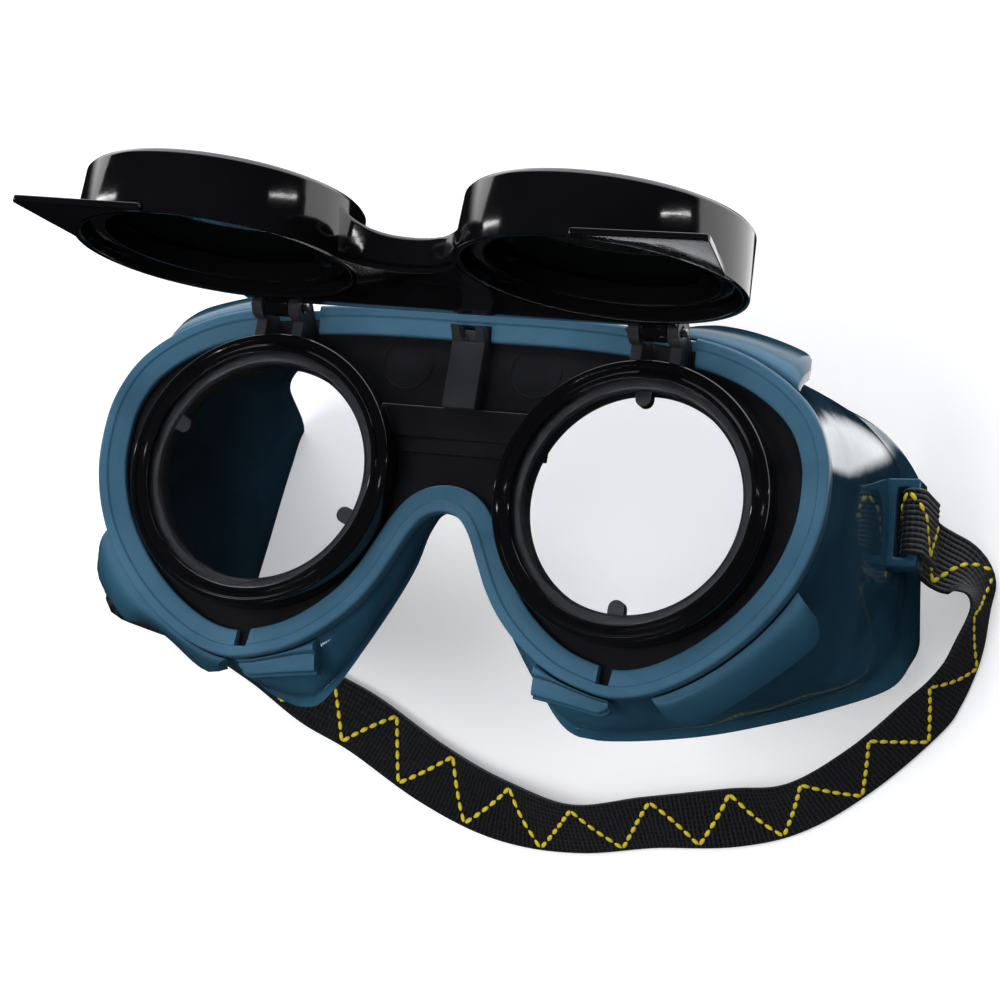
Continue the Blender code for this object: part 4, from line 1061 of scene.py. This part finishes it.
# Front frame. Black moulded plastic: a plate whose edge sits in the rim's groove, two barrels with
# ringed fronts, a shelf and a notched post between them, and ears for the hinge.
lens_x = 0.0411
plate_face_z = -0.0055
plate_back_z = -0.0080
barrel_radius = 0.0292
barrel_front_z = 0.0019
barrel_back_z = -0.0090
barrel_waist = 0.0004
barrel_waist_z = -0.0032
bead_width = 0.0011
bead_height = 0.00045
flange_radius = 0.0254
flange_thickness = 0.0007
pocket_radius = 0.0266
lathe_segments = 128
shelf_half_width = 0.0200
shelf_top_y = 0.0172
shelf_bottom_y = 0.0105
shelf_z = -0.0030
step_bottom_y = 0.0075
step_z = -0.0043
post_half_width = 0.0037
post_kink_y = 0.0309
post_kink_z = -0.0014
post_top_y = 0.0341
post_top_z = 0.0014
post_slot_half_width = 0.0017
post_slot_depth = 0.0031
ear_thickness = 0.0024
ear_radius = 0.0030
ear_root_drop = 0.0019
ear_shoulder_z = 0.0015
ear_steps = 16
knuckle_width = 0.0053
side_gap = 0.00035
pin_hole_radius = 0.0012
pin_sides = 24
dial_x = 0.0143
dial_y = 0.0266
dial_radius = 0.0057
dial_width = 0.0004
dial_height = 0.00018
dial_corner = 0.0001
turned_corner = 0.00015
turned_steps = 2
frame_edge = 0.0003
shelf_edge = 0.00035
plate_hole_overrun = 1.5
post_slot_overrun = 1.1
post_slot_steps = 12
# Turns an outline of y and z into one that is carried along x
across_x = Matrix(((0, 0, 1, 0), (1, 0, 0, 0), (0, 1, 0, 0), (0, 0, 0, 1)))


def circle(radius, count=lathe_segments, centre=(0, 0)):
    return [(centre[0] + radius * math.cos(math.tau * i / count),
             centre[1] + radius * math.sin(math.tau * i / count)) for i in range(count)]


def turned(profile, centre, corner=turned_corner):
    """A new bmesh of a closed profile of radii and heights, its corners rounded, turned round z."""
    flat = soften([Vector((r, 0, z)) for r, z in profile], [corner] * len(profile), turned_steps)
    rows = []
    for i in range(lathe_segments):
        angle = math.tau * i / lathe_segments
        rows.append([Vector((p.x * math.cos(angle) + centre[0], p.x * math.sin(angle) + centre[1], p.z))
                     for p in flat])
    return skin(rows, close_rows=True)


def barrel_profile():
    inner_bead = flange_radius + fit_gap
    waist = barrel_radius - barrel_waist
    flange_back = barrel_front_z - flange_thickness
    low = barrel_front_z - bead_height
    return (
        (waist, barrel_back_z),
        (waist, barrel_waist_z),
        (barrel_radius, barrel_waist_z + barrel_waist * 2),
        (barrel_radius, low),
        (barrel_radius - fit_gap, barrel_front_z),
        (barrel_radius - bead_width, barrel_front_z),
        (barrel_radius - bead_width - fit_gap, low),
        (inner_bead + bead_width, low),
        (inner_bead + bead_width - fit_gap, barrel_front_z),
        (inner_bead, barrel_front_z),
        (flange_radius, barrel_front_z - fit_gap),
        (flange_radius, flange_back),
        (pocket_radius, flange_back),
        (pocket_radius, barrel_back_z),
    )


def ear_outline():
    root_z = plate_face_z - fit_gap
    plate_top = hinge_y - ear_root_drop
    made = [(hinge_notch_foot_y, root_z), (hinge_notch_foot_y, ear_shoulder_z),
            (hinge_y - ear_radius, ear_shoulder_z)]
    for step in range(ear_steps + 1):
        angle = math.radians(180 * (1 - step / ear_steps))
        made.append((hinge_y + ear_radius * math.cos(angle), hinge_z + ear_radius * math.sin(angle)))
    made.append((hinge_y + ear_radius, hinge_z - ear_radius))
    made.append((plate_top, plate_face_z))
    made.append((plate_top, root_z))
    return made


def frame_piece(name, bm, finish):
    """A piece of the front frame, which stays with the mask."""
    piece = new_piece(name, bm, finish, "black_plastic", "mask")
    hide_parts("front_frame")
    return piece


def build_plate():
    """The plate with its two round holes, and the tabs that fill the rim's notches behind the ears."""
    rim, skirt, inward = mask_rings(ring_steps)
    outline = [tuple((rim[i] + inward[i] * (groove_depth + fit_gap)).xy) for i in range(len(rim))]
    plate = frame_piece("frame_plate", prism(outline, plate_back_z, plate_face_z), satin_black)
    holes = bmesh.new()
    fillers = bmesh.new()
    half = hinge_notch_half_width - fit_gap
    for side, label in sides:
        add_prism(holes, circle((barrel_radius + pocket_radius) / 2, centre=(side * lens_x, 0)),
                  plate_back_z * plate_hole_overrun, barrel_front_z)
        middle = side * hinge_x
        tab = box_outline(middle - half, hinge_notch_foot_y + fit_gap, middle + half, rim_top - rim_band)
        add_prism(fillers, tab, plate_back_z, plate_face_z - fit_gap)
    cut_away(plate, holes)
    tabs = frame_piece("frame_hinge_tabs", fillers, satin_black)
    round_edges(tabs, frame_edge)


def build_shelf_and_post():
    """The stepped shelf between the barrels, and the notched post that rises from it."""
    root_z = plate_face_z - fit_gap
    shelf = ((step_bottom_y, root_z), (shelf_top_y, root_z), (shelf_top_y, shelf_z),
             (shelf_bottom_y, shelf_z), (shelf_bottom_y, step_z), (step_bottom_y, step_z))
    ledge = frame_piece("frame_shelf", prism(shelf, -shelf_half_width, shelf_half_width, across_x),
                        satin_black)
    round_edges(ledge, shelf_edge)
    post = ((shelf_top_y - fit_gap, root_z), (post_top_y, root_z), (post_top_y, post_top_z),
            (post_kink_y, post_kink_z), (shelf_top_y - fit_gap, post_kink_z))
    stop = frame_piece("frame_post", prism(post, -post_half_width, post_half_width, across_x),
                       lit_looking_black)
    notch_y = post_top_y - post_slot_depth + post_slot_half_width
    notch_end = post_top_y * post_slot_overrun
    notch = []
    for step in range(post_slot_steps + 1):
        angle = math.pi + math.pi * step / post_slot_steps
        notch.append((post_slot_half_width * math.cos(angle),
                      notch_y + post_slot_half_width * math.sin(angle)))
    notch += [(post_slot_half_width, notch_end), (-post_slot_half_width, notch_end)]
    cut_away(stop, prism(notch, post_kink_z - post_slot_half_width, post_top_z * 2))
    round_edges(stop, frame_edge)


def build_barrel_side(side, label):
    """One side's plain dial, barrel and pair of hinge ears."""
    root_z = plate_face_z - fit_gap
    crest = plate_face_z + dial_height
    dial = ((dial_radius - dial_width, root_z), (dial_radius - dial_width, crest),
            (dial_radius, crest), (dial_radius, root_z))
    frame_piece("plain_dial_" + label, turned(dial, (side * dial_x, dial_y), dial_corner), satin_black)
    frame_piece("barrel_" + label, turned(barrel_profile(), (side * lens_x, 0)), gloss_black)
    pair = bmesh.new()
    ear_inner = knuckle_width / 2 + side_gap
    for inner in (-ear_inner - ear_thickness, ear_inner):
        start = side * hinge_x + inner
        add_prism(pair, ear_outline(), start, start + ear_thickness, across_x)
    ears = frame_piece("hinge_ears_" + label, pair, lit_looking_black)
    hole = circle(pin_hole_radius, pin_sides, (hinge_y, hinge_z))
    cut_away(ears, prism(hole, -hinge_x * 2, hinge_x * 2, across_x))
    round_edges(ears, frame_edge)


satin_black = moulded_black("satin_polyamide", shades=("#0d0d0f", "#1a1a1e"), roughness=(0.30, 0.46),
                            grain=0.0011, relief=0.25)
# A lighter copy of the satin black for the post and the hinge ears, painted as if lit: painted light
lit_looking_black = moulded_black("lit_looking_polyamide", shades=("#1c1c1f", "#36373b"), roughness=(0.30, 0.42),
                             grain=0.0011, relief=0.20)
gloss_black = moulded_black("gloss_polycarbonate", shades=("#060607", "#0e0e10"), roughness=(0.06, 0.12),
                            grain=0.0030, relief=0.06)
build_plate()
build_shelf_and_post()
for side, label in sides:
    build_barrel_side(side, label)

# Clear lenses and their rings. Polished polycarbonate discs behind the barrels' flanges, each held
# by a black threaded ring with two driving nubs.
ring_bore = 0.0230
ring_length = 0.0046
ring_lip = 0.0006
nub_reach = 0.0030
nub_half_width = 0.0017
nub_length = 0.0022
nub_steps = 8
lens_radius = 0.0263
handling_mark = 0.006
clear_ring_front_z = -0.0006
clear_nub_degrees = {"right": (93.0, -90.0), "left": (-21.0, 157.0)}


def clear_plastic():
    # Optical polycarbonate: no colour of its own, with a few faint handling marks in its gloss
    made, tree, shader = new_material("clear_polycarbonate", {
        "Base Color": colour("#f2f3f7"), "IOR": 1.45, "Transmission Weight": 1.0, "Roughness": 0.0})
    place = add_node(tree, "ShaderNodeTexCoord")
    marks = add_node(tree, "ShaderNodeTexNoise", values={"Scale": 1 / handling_mark, "Detail": 6.0},
                     links={"Vector": place.outputs["Object"]})
    haze = add_node(tree, "ShaderNodeMapRange", {}, {"From Min": 0.45, "From Max": 0.8,
                                                     "To Min": 0.0, "To Max": 0.04},
                    {"Value": marks.outputs["Fac"]})
    tree.links.new(haze.outputs["Result"], shader.inputs["Roughness"])
    return made


def finish_lens(node, finish):
    """Gives a lens, which stays as the CAD has it, the scene's material."""
    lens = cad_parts[node]
    lens.data.materials.clear()
    lens.data.materials.append(finish)


def add_ring(name, node, body, placed, nub_degrees, finish):
    """A threaded ring with its nubs, drawn at the origin with its front face at height zero."""
    profile = (
        (lens_radius, -ring_length + ring_lip),
        (lens_radius, 0),
        (ring_bore + ring_lip, 0),
        (ring_bore, -ring_lip),
        (ring_bore, -ring_length),
        (lens_radius - ring_lip, -ring_length),
    )
    nub_centre = ring_bore - nub_reach + nub_half_width
    nub = []
    for step in range(nub_steps + 1):
        angle = math.pi * step / nub_steps
        nub.append((nub_centre - nub_half_width * math.sin(angle), -nub_half_width * math.cos(angle)))
    nub += [(ring_bore + ring_lip, nub_half_width), (ring_bore + ring_lip, -nub_half_width)]
    bm = turned(profile, (0, 0))
    for degrees in nub_degrees:
        add_prism(bm, nub, -ring_lip - nub_length, -ring_lip,
                  Matrix.Rotation(math.radians(degrees), 4, "Z"))
    ring = new_piece(name, bm, finish, "ring_plastic", body, placed)
    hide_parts(node)


clear = clear_plastic()
blasted_black = moulded_black("blasted_polyamide", shades=("#1b1c1f", "#404146"), roughness=(0.35, 0.50),
                              grain=0.0005, relief=0.45)
for side, label in sides:
    finish_lens("clear_lens_" + label, clear)
    add_ring("eye_ring_" + label, "clear_lens_ring_" + label, "clear_ring_" + label,
             Matrix.Translation((side * lens_x, 0, clear_ring_front_z)), clear_nub_degrees[label],
             blasted_black)

# Flip front. One moulding of glossy black plastic: two cups for the dark lenses, a web between
# them, a saddle over the nose, a pointed finger wing at each end, and two hinge knuckles.
flip_rim_z = 0.00235
cup_radius = 0.0290
cup_draft = 0.0005
cup_wall = 0.0016
cup_depth = 0.0135
cup_round = 0.0009
cup_window = 0.0242
cup_face = 0.0013
cup_step_depth = 0.0058
cup_rim_bevel = 0.0003
cup_corner = 0.0003
bore_share = 0.6
flip_edge = 0.0003
web_thickness = 0.0020
web_corner = 0.0010
web_half_width = 0.0475
hinge_cut = 0.0036
nose_arc_radius = 0.0140
nose_arc_top_y = 0.0030
nose_arc_reach = math.radians(75)
bridge_depth = 0.0046
bridge_height = 0.0076
bridge_rise = 0.0044
bridge_steps = 40
bridge_corner = 0.0011
bridge_corner_steps = 4
wing_thickness = 0.0014
wing_tip_x = 0.0720
wing_tip_y = -0.0309
wing_base_x = 0.0440
wing_side_x = 0.0686
wing_side_y = -0.0070
wing_round = 0.0015
wing_edge = 0.00025
knuckle_radius = 0.0023
knuckle_turn = math.radians(264)
knuckle_steps = 22
knuckle_edge_degrees = 60
# The flip front is drawn closed. This turns it about its hinge to the open place where it rests
flip_open = (Matrix.Translation((0, hinge_y, hinge_z)) @ Matrix.Rotation(math.radians(-90), 4, "X")
             @ Matrix.Translation((0, -hinge_y, -hinge_z)))


def cup_profile():
    front = flip_rim_z + cup_depth
    step = flip_rim_z + cup_step_depth
    front_radius = cup_radius - cup_draft
    inner = cup_radius - cup_wall
    return (
        (cup_radius, flip_rim_z),
        (front_radius, front - cup_round),
        (front_radius - cup_round, front),
        (cup_window, front),
        (cup_window, front - cup_face),
        (pocket_radius, front - cup_face),
        (pocket_radius, step),
        (inner, step),
        (inner, flip_rim_z + cup_rim_bevel),
        (inner + cup_rim_bevel, flip_rim_z),
    )


def web_outline():
    top = hinge_y - hinge_cut
    centre_y = nose_arc_top_y - nose_arc_radius
    made = [(-web_half_width, top - web_corner), (-web_half_width + web_corner, top),
            (web_half_width - web_corner, top), (web_half_width, top - web_corner),
            (web_half_width, cup_radius / 2), (lens_x, -cup_wall), (lens_x / 2, -cup_wall)]
    for step in range(bridge_steps + 1):
        angle = nose_arc_reach * (1 - 2 * step / bridge_steps)
        made.append((nose_arc_radius * math.sin(angle), centre_y + nose_arc_radius * math.cos(angle)))
    made += [(-lens_x / 2, -cup_wall), (-lens_x, -cup_wall), (-web_half_width, cup_radius / 2)]
    return made


def bridge_rows():
    centre_y = nose_arc_top_y - nose_arc_radius
    low = flip_rim_z + web_thickness / 2
    rows = []
    for step in range(bridge_steps + 1):
        share = 2 * step / bridge_steps - 1
        angle = nose_arc_reach * share
        top = flip_rim_z + bridge_height + bridge_rise * abs(share) ** 3
        outer = nose_arc_radius + bridge_depth
        corners = [Vector((r, 0, z)) for r, z in ((nose_arc_radius, low), (nose_arc_radius, top),
                                                  (outer, top), (outer, low))]
        row = soften(corners, [0, bridge_corner, bridge_corner, 0], bridge_corner_steps)
        rows.append([Vector((p.x * math.sin(angle), centre_y + p.x * math.cos(angle), p.z)) for p in row])
    return rows


def knuckle_outline():
    foot_y = hinge_y - hinge_cut - fit_gap * 3
    made = [(foot_y, flip_rim_z + web_thickness), (foot_y, flip_rim_z)]
    for step in range(knuckle_steps + 1):
        angle = math.pi + knuckle_turn * step / knuckle_steps
        made.append((hinge_y + knuckle_radius * math.cos(angle),
                     hinge_z + knuckle_radius * math.sin(angle)))
    return made


def flip_piece(name, bm):
    """A piece of the flip front, drawn closed and then opened."""
    piece = new_piece(name, bm, gloss_black, "black_plastic", "flip_front", flip_open)
    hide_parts("flip_frame")
    return piece


def clear_bores(piece, which):
    """Cuts a piece of the flip front away from the inside of one cup or of both."""
    bores = bmesh.new()
    for side in which:
        add_prism(bores, circle(cup_radius - cup_wall * bore_share, centre=(side * lens_x, 0)),
                  -flip_rim_z, flip_rim_z + cup_depth * 2)
    cut_away(piece, bores, flip_open)


def build_flip_front():
    web = flip_piece("flip_web", prism(web_outline(), flip_rim_z, flip_rim_z + web_thickness))
    clear_bores(web, (1, -1))
    round_edges(web, flip_edge)
    bridge = flip_piece("flip_bridge", skin(bridge_rows()))
    clear_bores(bridge, (1, -1))
    for side, label in sides:
        flip_piece("flip_cup_" + label, turned(cup_profile(), (side * lens_x, 0), cup_corner))
        corners = [(wing_base_x, wing_tip_y + cup_wall / 2), (wing_tip_x, wing_tip_y),
                   (wing_side_x, wing_side_y), (wing_base_x + cup_wall, wing_side_y)]
        outline = [(side * x, y) for x, y in rounded_polygon(corners, wing_round)]
        wing = flip_piece("flip_wing_" + label, prism(outline, flip_rim_z, flip_rim_z + wing_thickness))
        clear_bores(wing, (side,))
        round_edges(wing, wing_edge)
        start = side * hinge_x - knuckle_width / 2
        knuckle = flip_piece("flip_knuckle_" + label,
                             prism(knuckle_outline(), start, start + knuckle_width, across_x))
        round_edges(knuckle, flip_edge, limit=knuckle_edge_degrees)


build_flip_front()

# Dark lenses, cover lenses and their rings. Shade glass so dark green that it looks black, with a
# clear cover disc in front of it, held in each cup by a threaded ring.
dark_ring_front_z = 0.00905
dark_nub_degrees = (40.0, -140.0)
glass_cloud = 0.020
glass_shades = ("#020503", "#08120a")


def shade_glass():
    # Float glass filled with iron oxides: nearly opaque, with a hard polished surface
    made, tree, shader = new_material("shade_glass", {"IOR": 1.52, "Roughness": 0.02, "Coat Weight": 0.2})
    place = add_node(tree, "ShaderNodeTexCoord")
    cloud = add_node(tree, "ShaderNodeTexNoise", values={"Scale": 1 / glass_cloud, "Detail": 2.0},
                     links={"Vector": place.outputs["Object"]})
    shade = add_node(tree, "ShaderNodeValToRGB", links={"Fac": cloud.outputs["Fac"]})
    colour_ends(shade, glass_shades)
    tree.links.new(shade.outputs["Color"], shader.inputs["Base Color"])
    return made


dark_glass = shade_glass()
for side, label in sides:
    finish_lens("dark_lens_" + label, dark_glass)
    finish_lens("cover_lens_" + label, clear)
    add_ring("shade_ring_" + label, "dark_lens_ring_" + label, "dark_ring_" + label,
             flip_open @ Matrix.Translation((side * lens_x, 0, dark_ring_front_z)), dark_nub_degrees,
             gloss_black)

# Hinge pins. Short drawn steel pins with bevelled ends, pushed through the ears and the knuckles.
# They stay with the mask when the flip front turns on them.
pin_radius = 0.0009
pin_length = 0.0132
pin_bevel = 0.0003
drawn_line = 0.0003
line_stretch = 0.05
steel_shades = ("#6c6c70", "#a6a6aa")


def steel_material():
    # Drawn steel wire: bright, with fine lines along its length
    made, tree, shader = new_material("drawn_steel", {"Metallic": 1.0, "Roughness": 0.3})
    place = add_node(tree, "ShaderNodeTexCoord")
    stretch = add_node(tree, "ShaderNodeMapping", values={"Scale": (line_stretch, 1.0, 1.0)},
                       links={"Vector": place.outputs["Object"]})
    lines = add_node(tree, "ShaderNodeTexNoise", values={"Scale": 1 / drawn_line, "Detail": 3.0},
                     links={"Vector": stretch.outputs[0]})
    shade = add_node(tree, "ShaderNodeValToRGB", links={"Fac": lines.outputs["Fac"]})
    colour_ends(shade, steel_shades)
    tree.links.new(shade.outputs["Color"], shader.inputs["Base Color"])
    return made


steel = steel_material()
for side, label in sides:
    ends = ((-pin_length / 2, pin_radius - pin_bevel), (-pin_length / 2 + pin_bevel, pin_radius),
            (pin_length / 2 - pin_bevel, pin_radius), (pin_length / 2, pin_radius - pin_bevel))
    rows = [[Vector((side * hinge_x + x, hinge_y + y, hinge_z + z)) for y, z in circle(r, pin_sides)]
            for x, r in ends]
    pin = new_piece("steel_pin_" + label, skin(rows), steel, "pin_steel", "mask")
    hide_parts("hinge_pin_" + label)
